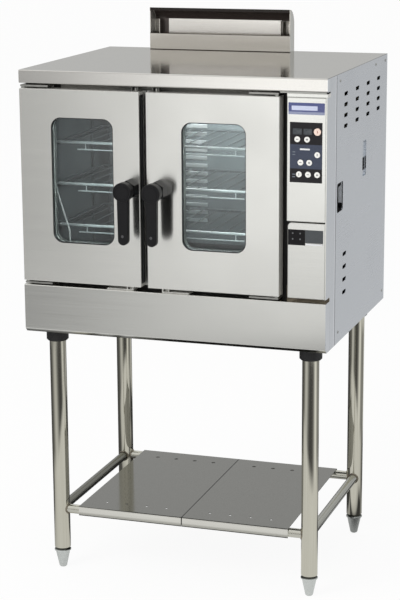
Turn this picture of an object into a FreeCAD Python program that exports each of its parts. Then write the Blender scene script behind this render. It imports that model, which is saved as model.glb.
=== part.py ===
import FreeCAD, Part
import os
from math import ceil, cos, radians, sin, sqrt, tan

# A free-standing two-door convection oven on a tubular stand with a shelf.
# Millimetres, X to the right, Y to the back and Z up. Everything is drawn from the
# floor under the cabinet's front left corner, and kept about the middle of its footprint.
V = FreeCAD.Vector
RIGHT, BACK, UP = V(1, 0, 0), V(0, 1, 0), V(0, 0, 1)

# Cabinet casing
WIDTH = 900.0
DEPTH = 717.0
BODY_BOTTOM = 751.0
BODY_TOP = 1512.0
SHEET = 1.5
BEND = 1.5
FASCIA_HEIGHT = 37.0
FASCIA_WRAP = 30.0
SKIRT_HEIGHT = 142.0
SKIRT_ROLL = 11.0
SKIRT_WRAP = 43.0
SKIRT_LIP = 40.0
SEAT_FLANGE = 10.0
PAN_FLANGE = 25.0
POST_FACE = 4.0
POST_DEPTH = 95.0
POST_LAP = 12.0
LEDGE_HEIGHT = 11.0
LEDGE_PROUD = 1.5
SEAM = 0.6

# Doors
LEFT_DOOR_WIDTH = 360.0
DOOR_GAP = 20.0
PANEL_GAP = 21.0
TOP_GAP = 15.0
BOTTOM_GAP = 12.0
DOOR_THICKNESS = 40.0
DOOR_SHEET = 1.2
DOOR_EDGE = 2.0
SEAL_GAP = 10.0
LIP_CLEARANCE = 2.0
WINDOW_INSET = 95.0
LEFT_WINDOW_STILE = 78.0
RIGHT_WINDOW_STILE = 104.0
WINDOW_RISE = 116.0
WINDOW_HEIGHT = 360.0
WINDOW_CORNER = 30.0
REVEAL_DEPTH = 12.0
GLASS = 4.0
GLASS_LAP = 12.0

# Hinges: brackets on the frame with pins in the doors' pivot blocks
PIN_INSET = 10.0
PIN_RADIUS = 5.0
PIN_ENTRY = 24.0
RUNNING_FIT = 0.05
PIVOT_BLOCK = 18.0
BRACKET_LENGTH = 84.0
BRACKET_PLATE = 5.0
BRACKET_NOSE = 3.0
SHOULDER_RADIUS = 6.5
CLEARANCE = 0.3

# Lever handles and their latch rods
LEFT_HANDLE_INSET = 26.0
RIGHT_HANDLE_INSET = 38.0
HANDLE_RISE = 284.0
HANDLE_REACH = 76.0
BOSS_RADIUS = 27.0
NECK_RADIUS = 22.0
BASE_RADIUS = 28.0
BASE_HEIGHT = 38.0
CONE_HEIGHT = 6.0
CAP_RADIUS = 21.0
CAP_GROOVE = 1.5
LEVER_LENGTH = 150.0
LEVER_WIDTH = 34.0
LEVER_TIP_WIDTH = 30.0
LEVER_THICKNESS = 24.0
LEVER_EDGE = 5.0
SPINDLE_RADIUS = 6.0
SPINDLE_ENTRY = 40.0
LOCK_BLOCK = 44.0
LOCK_DEPTH = 12.0
CRANK_RADIUS = 12.0
CRANK_SWING = 60.0
CRANK_PLATE = 4.0
CRANK_PIN = 3.0
ROD_RADIUS = 5.0
ROD_REACH = 9.0
ROD_EYE = 16.0
ROD_EYE_LENGTH = 40.0
SLOT_PLAY = 0.5
KEEPER_LENGTH = 80.0
KEEPER_PLATE = 2.0
KEEPER_EAR = 3.0
KEEPER_PLAY = 2.0

# Oven cavity, racks, fan and burner
CAVITY_SIDE = 50.0
CAVITY_EDGE = 20.0
CAVITY_DEPTH = 508.0
CAVITY_CORNER = 20.0
LINER_FLANGE = 12.0
GASKET_WIDTH = 10.0
GASKET_OFFSET = 8.0
INSULATION = 22.0
BAFFLE_SPACE = 90.0
BAFFLE_MARGIN = 40.0
GRILLE_WIDTH = 110.0
GRILLE_OFFSET = 31.0
GRILLE_HEIGHT = 370.0
GRILLE_SLOT = 12.0
GRILLE_PITCH = 24.0
RACK_COUNT = 3
RACK_PITCH = 121.0
RACK_RISE = 129.0
RACK_WIRE = 4.0
RACK_SIDE = 3.5
RACK_ROD = 2.0
RACK_TIE = 1.6
RACK_SPACING = 44.0
RACK_DROP = 20.0
RACK_FRONT = 52.0
RACK_DEPTH = 350.0
RUNNER_WIDTH = 30.0
RACK_BEARING = 8.0
GUIDE_POST = 16.0
PROBE_RADIUS = 2.5
PROBE_SETBACK = 25.0
PROBE_SIDE = 27.0
PROBE_DROP = 280.0
PROBE_SLANT = 38.0
PROBE_BEND = 60.0
FAN_RADIUS = 140.0
FAN_WIDTH = 45.0
FAN_BLADES = 12
BLADE = 2.0
HUB_RADIUS = 22.0
SHAFT_RADIUS = 7.0
SHAFT_HOLE = 15.0
MOTOR_RADIUS = 62.0
MOTOR_LENGTH = 110.0
MOTOR_SPACE = 24.0
MOTOR_POST = 6.0
BURNER_TUBES = 3
BURNER_RADIUS = 18.0
BURNER_LENGTH = 400.0
BURNER_RISE = 80.0
BURNER_PITCH = 180.0
MANIFOLD = 34.0
PIPE_RADIUS = 10.85
PIPE_BORE = 8.0
STUB_RADIUS = 10.4
STUB_LENGTH = 20.0
INLET_REACH = 25.0
INLET_SIDE = 70.0
INLET_RISE = 70.0
VALVE_SIZE = 60.0
GLAND_RISE = 150.0
GLAND_RADIUS = 13.0
GLAND_BORE = 5.0
GLAND_REACH = 18.0

# Controls on the right of the front
CONTROL_WIDTH = 109.0
CONTROL_HEIGHT = 340.0
COVER_GAP = 3.0
COVER_INSET = 3.0
COVER_CORNER = 12.0
KEYPAD_INSET = 9.0
KEYPAD_DROP = 67.0
KEYPAD_WIDTH = 90.0
KEYPAD_HEIGHT = 164.0
KEYPAD_PLATE = 2.0
BOARD_POST = 2.0
BOARD_POST_INSET = 4.0
KEY_RADIUS = 8.0
POWER_KEY_RADIUS = 10.0
KEY_PROUD = 1.5
KEY_TRAVEL = 0.8
KEY_FLANGE = 1.2
KEY_STEM = 2.7
SWITCH_HEIGHT = 3.5
BOARD = 1.6
KEY_RIGHT = 77.0
KEY_PITCH = 25.5
KEY_ROWS = {"lower": 22.5, "middle": 55.0, "timer": 77.0, "upper": 118.0, "power": 139.5}
LAMP_DROP = 19.0
LAMP_INSET = 2.0
LAMP_WIDTH = 48.0
LAMP_HEIGHT = 43.0
LENS_WIDTH = 50.0
LENS_HEIGHT = 36.0
LAMP_PROUD = 1.5
LAMP_DEPTH = 14.0
LAMP_RIM = 6.0

# Louvres and pulls in the right side panel
LOUVRE_WIDTH = 40.0
LOUVRE_HEIGHT = 11.0
LOUVRE_DEPTH = 12.0
LOUVRE_START = 108.0
LOUVRE_PITCH = 133.0
LOUVRE_COLUMNS = 4
LOUVRE_ROWS = 4
UPPER_LOUVRE_DROP = 62.0
UPPER_ROW_PITCH = 30.0
LOWER_LOUVRE_RISE = 134.0
LOWER_ROW_PITCH = 37.0
GRIP_START = 17.0
GRIP_RISE = 376.0
GRIP_WIDTH = 66.0
GRIP_HEIGHT = 82.0
GRIP_DEPTH = 24.0
GRIP_BAR = 12.0
GRIP_ARM = 9.0
GRIP_PLATE = 10.0
DISH_START = 314.0
DISH_RISE = 432.0
DISH_WIDTH = 46.0
DISH_HEIGHT = 104.0
DISH_DEPTH = 5.0
DISH_CORNER = 8.0
DISH_SLIT_EDGE = 9.0
DISH_SLIT_WIDTH = 20.0
DISH_SLIT_RISE = 16.0
DISH_SLIT_HEIGHT = 36.0

# Flue at the back of the top
FLUE_LEFT = 154.0
FLUE_WIDTH = 453.0
FLUE_DEPTH = 48.0
FLUE_HEIGHT = 129.0
FLUE_FRONT = 51.0
FLUE_LIP = 9.0
DUCT_INSET = 30.0
DUCT_DEPTH = 20.0
DUCT_HEIGHT = 94.0

# Stand
LEG_RADIUS = 24.3
LEG_WALL = 1.5
LEG_INSET = 64.0
LEG_SETBACK = 85.0
LEG_EDGE = 4.0
LEG_FLANGE = 6.0
LEG_FLANGE_RADIUS = 33.0
COLLAR_RADIUS = 32.5
COLLAR_HEIGHT = 34.0
COLLAR_CHAMFER = 4.0
RAIL_RADIUS = 13.6
RAIL_WALL = 1.2
RAIL_HEIGHT = 187.0
SHELF_MARGIN = 125.0
SHELF_SEAM = 1.0
SHELF_FOLD = 28.0
SHELF_HOLE = 4.0
SHELF_HOLE_PITCH = 63.0
SHELF_HOLE_EDGE = 66.0
SHELF_HOLE_ROW = 62.0
FOOT_HEIGHT = 61.0
FOOT_FLANGE_RADIUS = 25.0
FOOT_FLANGE = 7.0
FOOT_RIM = 4.0
FOOT_CONE_RADIUS = 22.0
FOOT_TIP_RADIUS = 12.0
FOOT_FLAT_RADIUS = 5.0
STEM_RADIUS = 6.0
FOOT_TRAVEL = 20.0
NUT_HEIGHT = 20.0

# Levels and planes that follow from the sizes above
fascia_bottom = BODY_TOP - FASCIA_HEIGHT
door_top = fascia_bottom - TOP_GAP
skirt_top = BODY_BOTTOM + SKIRT_HEIGHT
door_bottom = skirt_top + BOTTOM_GAP
frame_front = DOOR_THICKNESS + SEAL_GAP
frame_back = frame_front + SHEET
flange_end = frame_back + SEAT_FLANGE
casing_top = BODY_TOP - SHEET
casing_back = DEPTH - SHEET
control_right = WIDTH - POST_FACE - CLEARANCE
control_left = control_right - CONTROL_WIDTH
right_door_left = LEFT_DOOR_WIDTH + DOOR_GAP
right_door_right = control_left - PANEL_GAP
cavity_x = (CAVITY_SIDE, right_door_right - CAVITY_SIDE)
cavity_z = (door_bottom + CAVITY_EDGE, door_top - CAVITY_EDGE)
cavity_back = frame_back + CAVITY_DEPTH
baffle_y = cavity_back - BAFFLE_SPACE
fan_x = sum(cavity_x) / 2
fan_z = sum(cavity_z) / 2
handle_z = door_bottom + HANDLE_RISE
leg_bottom = FOOT_HEIGHT + CLEARANCE
collar_top = BODY_BOTTOM - LEG_FLANGE
stem_top = leg_bottom + NUT_HEIGHT + 2 * FOOT_TRAVEL
flue_front = DEPTH - FLUE_DEPTH
front_reach = -HANDLE_REACH
rear_reach = DEPTH + INLET_REACH
ORIGIN = V(WIDTH / 2, (front_reach + rear_reach) / 2, 0)


def slab(x, y, z):
    """Block between pairs of limits, each pair in either order."""
    (x0, x1), (y0, y1), (z0, z1) = sorted(x), sorted(y), sorted(z)
    return Part.makeBox(x1 - x0, y1 - y0, z1 - z0, V(x0, y0, z0))


def grown(limits, amount):
    return (min(limits) - amount, max(limits) + amount)


def edges_along(shape, axis):
    """Straight edges of a shape that run along a unit vector."""
    found = []
    for edge in shape.Edges:
        run = edge.Vertexes[-1].Point - edge.Vertexes[0].Point
        if run.Length > 0 and abs(run.dot(axis)) > 0.999 * run.Length:
            found.append(edge)
    return found


def rounded(x, y, z, radius, axis=BACK):
    """Block with its four edges along one axis rounded."""
    block = slab(x, y, z)
    return block.makeFillet(radius, edges_along(block, axis))


def bar(start, direction, radius, length):
    return Part.makeCylinder(radius, length, start, direction)


def ring(start, direction, outer, inner, length):
    return bar(start, direction, outer, length).cut(bar(start, direction, inner, length))


def fused(shapes):
    return shapes[0].multiFuse(shapes[1:]).removeSplitter()


def prism(points, run):
    """Straight-sided block: its outline carried along a vector."""
    return Part.Face(Part.makePolygon(points + points[:1])).extrude(run)


def rounded_chain(points, radii):
    """Lines through the points, with an arc of its own radius at each inner corner."""
    edges = []
    start = points[0]
    for corner, after, radius in zip(points[1:-1], points[2:], radii):
        arriving = (corner - start).normalize()
        leaving = (after - corner).normalize()
        half = arriving.getAngle(leaving) / 2
        inward = (leaving - arriving).normalize()
        first = corner - arriving * (radius * tan(half))
        last = corner + leaving * (radius * tan(half))
        middle = corner + inward * (radius / cos(half) - radius)
        edges += [Part.makeLine(start, first), Part.Arc(first, middle, last).toShape()]
        start = last
    edges.append(Part.makeLine(start, points[-1]))
    return edges


def sheet_lines(line, x):
    """Outer and inner edges of a folded sheet, with its metal on the left of the line."""
    outer = [V(x, y, z) for y, z in line]
    runs = [(b - a).normalize() for a, b in zip(outer, outer[1:])]
    normals = [V(0, -run.z, run.y) for run in runs]
    inner = [outer[0] + normals[0] * SHEET]
    for corner, one, two in zip(outer[1:], normals, normals[1:]):
        inner.append(corner + (one + two) * (SHEET / (1 + one.dot(two))))
    inner.append(outer[-1] + normals[-1] * SHEET)
    bends = len(line) - 2
    return rounded_chain(outer, [BEND + SHEET] * bends), rounded_chain(inner, [BEND] * bends)


def closed_face(edges):
    first = edges[0].Vertexes[0].Point
    last = edges[-1].Vertexes[-1].Point
    return Part.Face(Part.Wire(edges + [Part.makeLine(last, first)]))


def folded_box(line, x0, x1):
    """Folded sheet with both of its ends closed, open at the back."""
    outer, inner = sheet_lines(line, x0)
    shell = closed_face(outer).extrude(RIGHT * (x1 - x0))
    hollow = closed_face(inner).extrude(RIGHT * (x1 - x0 - 2 * SHEET))
    hollow.translate(RIGHT * SHEET)
    return shell.cut(hollow)


def folded_strip(line, x0, x1):
    """Folded sheet with open ends."""
    outer, inner = sheet_lines(line, x0)
    run = RIGHT * (x1 - x0)
    return closed_face(outer).extrude(run).cut(closed_face(inner).extrude(run))


def tray(x, y, z, wall, edge):
    """Sheet cover with a face at its front, four walls and an open back."""
    block = slab(x, y, z)
    front = [e for e in block.Edges if e.BoundBox.YMax < min(y) + edge]
    block = block.makeFillet(edge, front + edges_along(block, BACK))
    return block.cut(slab(grown(x, -wall), (min(y) + wall, max(y)), grown(z, -wall)))


def keep(name, *solids):
    """Move a piece into the part's own frame and write it."""
    shape = solids[0] if len(solids) == 1 else Part.makeCompound(list(solids))
    shape.translate(-ORIGIN)
    shape.exportStep("parts/" + name + ".step")
    print(name, len(shape.Solids), "valid" if shape.isValid() else "NOT VALID", round(shape.Volume))


os.makedirs("parts", exist_ok=True)


# Stand: four welded tube legs with rails, black collars under the cabinet, screw feet
leg_places = {
    "front_left": V(LEG_INSET, LEG_SETBACK, 0),
    "front_right": V(WIDTH - LEG_INSET, LEG_SETBACK, 0),
    "rear_left": V(LEG_INSET, DEPTH - LEG_SETBACK, 0),
    "rear_right": V(WIDTH - LEG_INSET, DEPTH - LEG_SETBACK, 0),
}


def leg(place):
    """Tube leg, its lower end tapered over the nut for the foot's stem, with a flange at its top."""
    base = place + UP * leg_bottom
    tube = ring(base, UP, LEG_RADIUS, LEG_RADIUS - LEG_WALL, BODY_BOTTOM - leg_bottom)
    nut = ring(base, UP, LEG_RADIUS - LEG_WALL, STEM_RADIUS + RUNNING_FIT, NUT_HEIGHT)
    flange = ring(place + UP * collar_top, UP, LEG_FLANGE_RADIUS, LEG_RADIUS, LEG_FLANGE)
    taper = Part.makeCone(LEG_RADIUS - LEG_EDGE, LEG_RADIUS, LEG_EDGE, base, UP)
    edge = bar(base, UP, LEG_RADIUS, LEG_EDGE).cut(taper)
    return fused([tube, nut, flange]).cut(edge)


def collar(place):
    """Black collar pushed up under the leg's flange, its lower edge chamfered."""
    base = place + UP * (collar_top - COLLAR_HEIGHT)
    shape = bar(base, UP, COLLAR_RADIUS, COLLAR_HEIGHT)
    low = [e for e in shape.Edges if e.BoundBox.ZMax < base.z + COLLAR_CHAMFER]
    return shape.makeChamfer(COLLAR_CHAMFER, low).cut(bar(base, UP, LEG_RADIUS, COLLAR_HEIGHT))


def rail(start, end):
    """Cross tube, with both ends cut round the legs that it is welded to."""
    low, high = start + UP * RAIL_HEIGHT, end + UP * RAIL_HEIGHT
    run = high - low
    tube = ring(low, run, RAIL_RADIUS, RAIL_RADIUS - RAIL_WALL, run.Length)
    for place in (start, end):
        tube = tube.cut(bar(place, UP, LEG_RADIUS, BODY_BOTTOM))
    return tube


def foot(place):
    """Bullet foot with a sloped flange and a screw stem, turned in one piece."""
    neck = FOOT_HEIGHT - FOOT_FLANGE
    roundness = FOOT_TIP_RADIUS - FOOT_FLAT_RADIUS
    corner = roundness * (1 - sqrt(0.5))
    flat, tip = V(FOOT_FLAT_RADIUS, 0, 0), V(FOOT_TIP_RADIUS, 0, roundness)
    middle = V(FOOT_TIP_RADIUS - corner, 0, corner)
    sides = [tip, V(FOOT_CONE_RADIUS, 0, neck), V(FOOT_FLANGE_RADIUS, 0, neck),
             V(FOOT_FLANGE_RADIUS, 0, FOOT_HEIGHT - FOOT_RIM),
             V(FOOT_FLANGE_RADIUS - FOOT_RIM, 0, FOOT_HEIGHT), V(STEM_RADIUS, 0, FOOT_HEIGHT),
             V(STEM_RADIUS, 0, stem_top), V(0, 0, stem_top)]
    edges = [Part.makeLine(V(), flat), Part.Arc(flat, middle, tip).toShape()]
    edges += [Part.makeLine(a, b) for a, b in zip(sides, sides[1:])]
    edges.append(Part.makeLine(sides[-1], V()))
    shape = Part.Face(Part.Wire(edges)).revolve(V(), UP, 360)
    shape.translate(place)
    return shape


keep("legs", *[leg(place) for place in leg_places.values()])
for corner_name, place in leg_places.items():
    keep("foot_" + corner_name, foot(place))
corners = list(leg_places.values())
keep("stand_rails", rail(corners[0], corners[1]), rail(corners[2], corners[3]),
     rail(corners[0], corners[2]), rail(corners[1], corners[3]))
keep("leg_collars", *[collar(place) for place in leg_places.values()])

# Two shelf plates, folded down over the front and rear rails
shelf_top = RAIL_HEIGHT + RAIL_RADIUS + SHEET
shelf_front = LEG_SETBACK - RAIL_RADIUS - SHEET
shelf_rear = DEPTH - LEG_SETBACK + RAIL_RADIUS + SHEET


def shelf_plate(x0, x1):
    plate = folded_strip([(shelf_rear, shelf_top - SHELF_FOLD), (shelf_rear, shelf_top),
                          (shelf_front, shelf_top), (shelf_front, shelf_top - SHELF_FOLD)], x0, x1)
    count = int((x1 - x0 - 2 * SHELF_HOLE_EDGE + SHELF_HOLE_PITCH) // SHELF_HOLE_PITCH)
    start = (x0 + x1 - (count - 1) * SHELF_HOLE_PITCH) / 2
    holes = []
    for index in range(count):
        for y in (shelf_front + SHELF_HOLE_ROW, shelf_rear - SHELF_HOLE_ROW):
            place = V(start + index * SHELF_HOLE_PITCH, y, shelf_top - 2 * SHEET)
            holes.append(bar(place, UP, SHELF_HOLE, 3 * SHEET))
    return plate.cut(Part.makeCompound(holes))


shelf_middle = (WIDTH - SHELF_SEAM) / 2
keep("shelf_plates", shelf_plate(SHELF_MARGIN, shelf_middle),
     shelf_plate(shelf_middle + SHELF_SEAM, WIDTH - SHELF_MARGIN))


# Casing: base pan, skirt, face frame, top with its fascia, sides, corner post and back
inside_x = (SHEET, WIDTH - SHEET)
pan_y = (SKIRT_LIP, casing_back)
pan_flange_z = (BODY_BOTTOM, BODY_BOTTOM + PAN_FLANGE)
keep("base_pan", fused([
    slab(inside_x, pan_y, (BODY_BOTTOM, BODY_BOTTOM + SHEET)),
    slab((SHEET, 2 * SHEET), (frame_back, casing_back), pan_flange_z),
    slab((WIDTH - 2 * SHEET, WIDTH - SHEET), (frame_back, casing_back), pan_flange_z),
    slab(inside_x, (casing_back - SHEET, casing_back), pan_flange_z)]))

skirt = folded_box([(flange_end, skirt_top), (0, skirt_top), (0, BODY_BOTTOM + SKIRT_ROLL),
                    (SKIRT_ROLL, BODY_BOTTOM), (flange_end, BODY_BOTTOM)], 0, WIDTH)
whole_skirt_z = (BODY_BOTTOM, skirt_top)
skirt = skirt.cut(slab((0, SHEET), (frame_back, flange_end), whole_skirt_z))
skirt = skirt.cut(slab((WIDTH - SHEET, WIDTH), (SKIRT_WRAP, flange_end), whole_skirt_z))
keep("front_skirt", skirt.cut(slab((0, WIDTH), (SKIRT_LIP, flange_end),
                                   (BODY_BOTTOM, BODY_BOTTOM + SHEET))))

fascia = folded_box([(flange_end, BODY_TOP), (0, BODY_TOP), (0, fascia_bottom),
                     (flange_end, fascia_bottom)], 0, WIDTH)
fascia = fascia.cut(slab((0, SHEET), (frame_back, flange_end), (fascia_bottom, casing_top)))
fascia = fascia.cut(slab((WIDTH - SHEET, WIDTH), (FASCIA_WRAP, flange_end),
                         (fascia_bottom, casing_top)))
duct_x = (FLUE_LEFT + DUCT_INSET, FLUE_LEFT + FLUE_WIDTH - DUCT_INSET)
duct_back = DEPTH - DUCT_DEPTH
duct_front = flue_front + SHEET
top_plate = slab((0, WIDTH), (flange_end, DEPTH), (casing_top, BODY_TOP))
top_hole = slab(grown(duct_x, -2 * SHEET), (duct_front, duct_back), (casing_top, BODY_TOP))
keep("top_panel", fused([fascia, top_plate.cut(top_hole)]))

frame_z = (skirt_top, fascia_bottom)
face_frame = fused([
    slab((0, WIDTH - SHEET), (frame_front, frame_back), frame_z),
    slab(inside_x, (frame_back, flange_end), (skirt_top, skirt_top + SHEET)),
    slab(inside_x, (frame_back, flange_end), (fascia_bottom - SHEET, fascia_bottom))])
bay_margin = CONTROL_WIDTH / 7
face_frame = face_frame.cut(rounded(cavity_x, (frame_front, frame_back), cavity_z, CAVITY_CORNER))
keep("front_frame", face_frame.cut(slab(grown((control_left, control_right), -bay_margin),
                                        (frame_front, frame_back),
                                        (door_bottom + bay_margin, door_top - bay_margin))))

casing_z = (BODY_BOTTOM, casing_top)
keep("left_side_panel", slab((0, SHEET), (frame_back, casing_back), casing_z))

post_wrap, skirt_wrap = FASCIA_WRAP + SEAM, SKIRT_WRAP + SEAM
post_side = [(0, door_bottom), (0, door_top + LEDGE_HEIGHT), (FASCIA_WRAP, door_top + LEDGE_HEIGHT),
             (FASCIA_WRAP, door_top), (post_wrap, door_top), (post_wrap, casing_top),
             (POST_DEPTH, casing_top), (POST_DEPTH, BODY_BOTTOM), (skirt_wrap, BODY_BOTTOM),
             (skirt_wrap, door_bottom)]
post_sheet = prism([V(WIDTH - SHEET, y, z) for y, z in post_side], RIGHT * SHEET)
post_edge = slab((WIDTH - POST_FACE, WIDTH), (0, SHEET), (door_bottom, door_top + LEDGE_HEIGHT))
ledge = slab((control_left, WIDTH + LEDGE_PROUD), (-LEDGE_PROUD, FASCIA_WRAP),
             (door_top + CLEARANCE, door_top + LEDGE_HEIGHT))
ledge = ledge.makeFillet(LEDGE_PROUD, [e for e in ledge.Edges if e.BoundBox.XMin > WIDTH
                                       or e.BoundBox.YMax < 0])
post_lap = slab((WIDTH - 2 * SHEET, WIDTH - SHEET), (POST_DEPTH - POST_LAP, POST_DEPTH + POST_LAP),
                (BODY_BOTTOM + PAN_FLANGE + POST_LAP, casing_top - POST_LAP))


def round_front_corner(shape):
    """Round the upright edge at the cabinet's front right corner."""
    corner = [e for e in edges_along(shape, UP)
              if e.BoundBox.XMin > WIDTH - SHEET / 2 and e.BoundBox.YMax < SHEET / 2]
    return shape.makeFillet(DOOR_EDGE, corner)


keep("corner_post", fused([round_front_corner(fused([post_sheet, post_edge])), ledge, post_lap]))

# Right side panel: pressed louvres, a pocket for the pull and a shallow dish with a slit
side_x = (WIDTH - SHEET, WIDTH)
side_start = POST_DEPTH + SEAM
side_panel = slab(side_x, (side_start, casing_back), casing_z)
louvre_places = [(side_start + LOUVRE_START + column * LOUVRE_PITCH,
                  BODY_TOP - UPPER_LOUVRE_DROP - row * UPPER_ROW_PITCH)
                 for column in range(LOUVRE_COLUMNS) for row in range(LOUVRE_ROWS)]
louvre_places += [(side_start + LOUVRE_START, BODY_BOTTOM + LOWER_LOUVRE_RISE + row * LOWER_ROW_PITCH)
                  for row in range(LOUVRE_ROWS)]


def louvre_slot(y, z):
    half = LOUVRE_HEIGHT / 2
    return rounded(side_x, grown((y, y), LOUVRE_WIDTH / 2), grown((z, z), half), 0.9 * half, RIGHT)


def louvre_vane(y, z):
    """Tongue pressed inwards from the slot's upper edge."""
    x, top, low = WIDTH - SHEET, z + LOUVRE_HEIGHT / 2, z - LOUVRE_HEIGHT / 2
    outline = [V(x, 0, top + SHEET), V(x - LOUVRE_DEPTH, 0, low + SHEET), V(x - LOUVRE_DEPTH, 0, low),
               V(x, 0, top)]
    vane = prism(outline, BACK * LOUVRE_WIDTH)
    vane.translate(BACK * (y - LOUVRE_WIDTH / 2))
    return vane


def pressed_dish(y, z, depth, corner):
    """Sheet pocket behind the panel's face, as a hole to cut and a shell to add."""
    hole = rounded((WIDTH - depth, WIDTH), y, z, corner, RIGHT)
    shell = rounded((WIDTH - depth - SHEET, WIDTH), grown(y, SHEET), grown(z, SHEET),
                    corner + SHEET, RIGHT)
    return hole, shell.cut(hole)


grip_y = (side_start + GRIP_START, side_start + GRIP_START + GRIP_WIDTH)
grip_z = (BODY_BOTTOM + GRIP_RISE, BODY_BOTTOM + GRIP_RISE + GRIP_HEIGHT)
dish_y = (side_start + DISH_START, side_start + DISH_START + DISH_WIDTH)
dish_z = (BODY_BOTTOM + DISH_RISE, BODY_BOTTOM + DISH_RISE + DISH_HEIGHT)
grip_hole, grip_shell = pressed_dish(grip_y, grip_z, GRIP_DEPTH, DISH_CORNER)
dish_hole, dish_shell = pressed_dish(dish_y, dish_z, DISH_DEPTH, DISH_CORNER)
slit_end = dish_y[1] - DISH_SLIT_EDGE
slit_y = (slit_end - DISH_SLIT_WIDTH, slit_end)
slit_z = (dish_z[0] + DISH_SLIT_RISE, dish_z[0] + DISH_SLIT_RISE + DISH_SLIT_HEIGHT)
side_panel = side_panel.cut(Part.makeCompound([louvre_slot(y, z) for y, z in louvre_places]))
side_panel = side_panel.cut(grip_hole).cut(dish_hole)
side_panel = fused([side_panel, grip_shell, dish_shell] + [louvre_vane(y, z) for y, z in louvre_places])
keep("right_side_panel", side_panel.cut(slab((WIDTH - DISH_DEPTH - SHEET, WIDTH), slit_y, slit_z)))

# The pull's black edging: a bar at the front of the pocket with an arm at each end
grip_x = (WIDTH - GRIP_PLATE, WIDTH)
grip = rounded(grip_x, grip_y, grip_z, DISH_CORNER, RIGHT)
grip_inner_z = grown(grip_z, -GRIP_ARM)
grip_hollow = rounded(grip_x, (grip_y[0] + GRIP_BAR, grip_y[1] + GRIP_BAR), grip_inner_z,
                      DISH_CORNER, RIGHT)
arm_end = slab(grip_x, (sum(grip_y) / 2 + GRIP_ARM, grip_y[1]), grip_z)
keep("side_grip", grip.cut(grip_hollow).cut(arm_end))

# Back panel with cooling slots behind the motor, and holes for the gas pipe and the gland
inlet_x, inlet_z = WIDTH - INLET_SIDE, BODY_BOTTOM + INLET_RISE
gland_z = BODY_BOTTOM + GLAND_RISE
back_y = (casing_back, DEPTH)
back_cuts = [bar(V(inlet_x, casing_back, inlet_z), BACK, PIPE_RADIUS + CLEARANCE, SHEET),
             bar(V(inlet_x, casing_back, gland_z), BACK, GLAND_RADIUS - 2 * SHEET, SHEET)]
for column in range(-3, 4):
    slot_x = fan_x + column * LOUVRE_HEIGHT * 2
    back_cuts.append(rounded(grown((slot_x, slot_x), LOUVRE_HEIGHT / 2), back_y,
                             grown((fan_z, fan_z), MOTOR_RADIUS), 0.9 * LOUVRE_HEIGHT / 2))
keep("back_panel", slab((0, WIDTH), back_y, casing_z).cut(Part.makeCompound(back_cuts)))


# Flue: a hood rounded over to the back, its front plate, and the duct inside it
def flue_profile(inset, x):
    """Side of the hood: straight front, quarter-round top at the back."""
    front, back = flue_front, DEPTH - inset
    top, radius = BODY_TOP + FLUE_HEIGHT - inset, FLUE_DEPTH - inset
    start, end = V(x, front, top), V(x, back, top - radius)
    middle = V(x, front + radius * sqrt(0.5), top - radius * (1 - sqrt(0.5)))
    edges = [Part.makeLine(V(x, front, BODY_TOP), start), Part.Arc(start, middle, end).toShape(),
             Part.makeLine(end, V(x, back, BODY_TOP))]
    return closed_face(edges)


flue_x = (FLUE_LEFT, FLUE_LEFT + FLUE_WIDTH)
hood = flue_profile(0, flue_x[0]).extrude(RIGHT * FLUE_WIDTH)
hood = hood.cut(flue_profile(SHEET, flue_x[0] + SHEET).extrude(RIGHT * (FLUE_WIDTH - 2 * SHEET)))
flue_top = BODY_TOP + FLUE_HEIGHT
hood = fused([hood, slab(flue_x, (flue_front - SHEET, flue_front), (flue_top - FLUE_LIP, flue_top))])
flue_plate = slab(flue_x, (flue_front - SHEET, flue_front), (BODY_TOP, BODY_TOP + FLUE_FRONT))
duct_z = (BODY_TOP, BODY_TOP + DUCT_HEIGHT)
duct = slab(duct_x, (duct_front, duct_back), duct_z)
duct = duct.cut(slab(grown(duct_x, -SHEET), (duct_front, duct_back - SHEET), duct_z))
keep("flue_hood", hood, flue_plate, duct)


# Oven cavity: welded liner, insulation, door gasket, fan baffle, guides, racks and probe
liner_y = (frame_back, cavity_back)
liner = fused([
    rounded(grown(cavity_x, DOOR_SHEET), (frame_back, cavity_back + DOOR_SHEET),
            grown(cavity_z, DOOR_SHEET), CAVITY_CORNER + DOOR_SHEET),
    slab(grown(cavity_x, LINER_FLANGE), (frame_back, frame_back + DOOR_SHEET),
         grown(cavity_z, LINER_FLANGE))])
liner = liner.cut(rounded(cavity_x, liner_y, cavity_z, CAVITY_CORNER))
keep("oven_liner", liner.cut(bar(V(fan_x, cavity_back, fan_z), BACK, SHAFT_HOLE, DOOR_SHEET)))

liner_outer_x, liner_outer_z = grown(cavity_x, DOOR_SHEET), grown(cavity_z, DOOR_SHEET)
blanket_y = (flange_end + SEAT_FLANGE, cavity_back + DOOR_SHEET + INSULATION)
blanket = slab(grown(liner_outer_x, INSULATION), blanket_y, grown(liner_outer_z, INSULATION))
blanket = blanket.cut(rounded(liner_outer_x, (frame_back, cavity_back + DOOR_SHEET), liner_outer_z,
                              CAVITY_CORNER + DOOR_SHEET))
motor_hole = MOTOR_RADIUS + INSULATION / 2
keep("insulation", blanket.cut(bar(V(fan_x, cavity_back, fan_z), BACK, motor_hole, 2 * INSULATION)))

gasket_y = (DOOR_THICKNESS + CLEARANCE, frame_front)
gasket = rounded(grown(cavity_x, GASKET_OFFSET + GASKET_WIDTH), gasket_y,
                 grown(cavity_z, GASKET_OFFSET + GASKET_WIDTH), CAVITY_CORNER + GASKET_WIDTH)
keep("door_gasket", gasket.cut(rounded(grown(cavity_x, GASKET_OFFSET), gasket_y,
                                       grown(cavity_z, GASKET_OFFSET), CAVITY_CORNER)))

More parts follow.
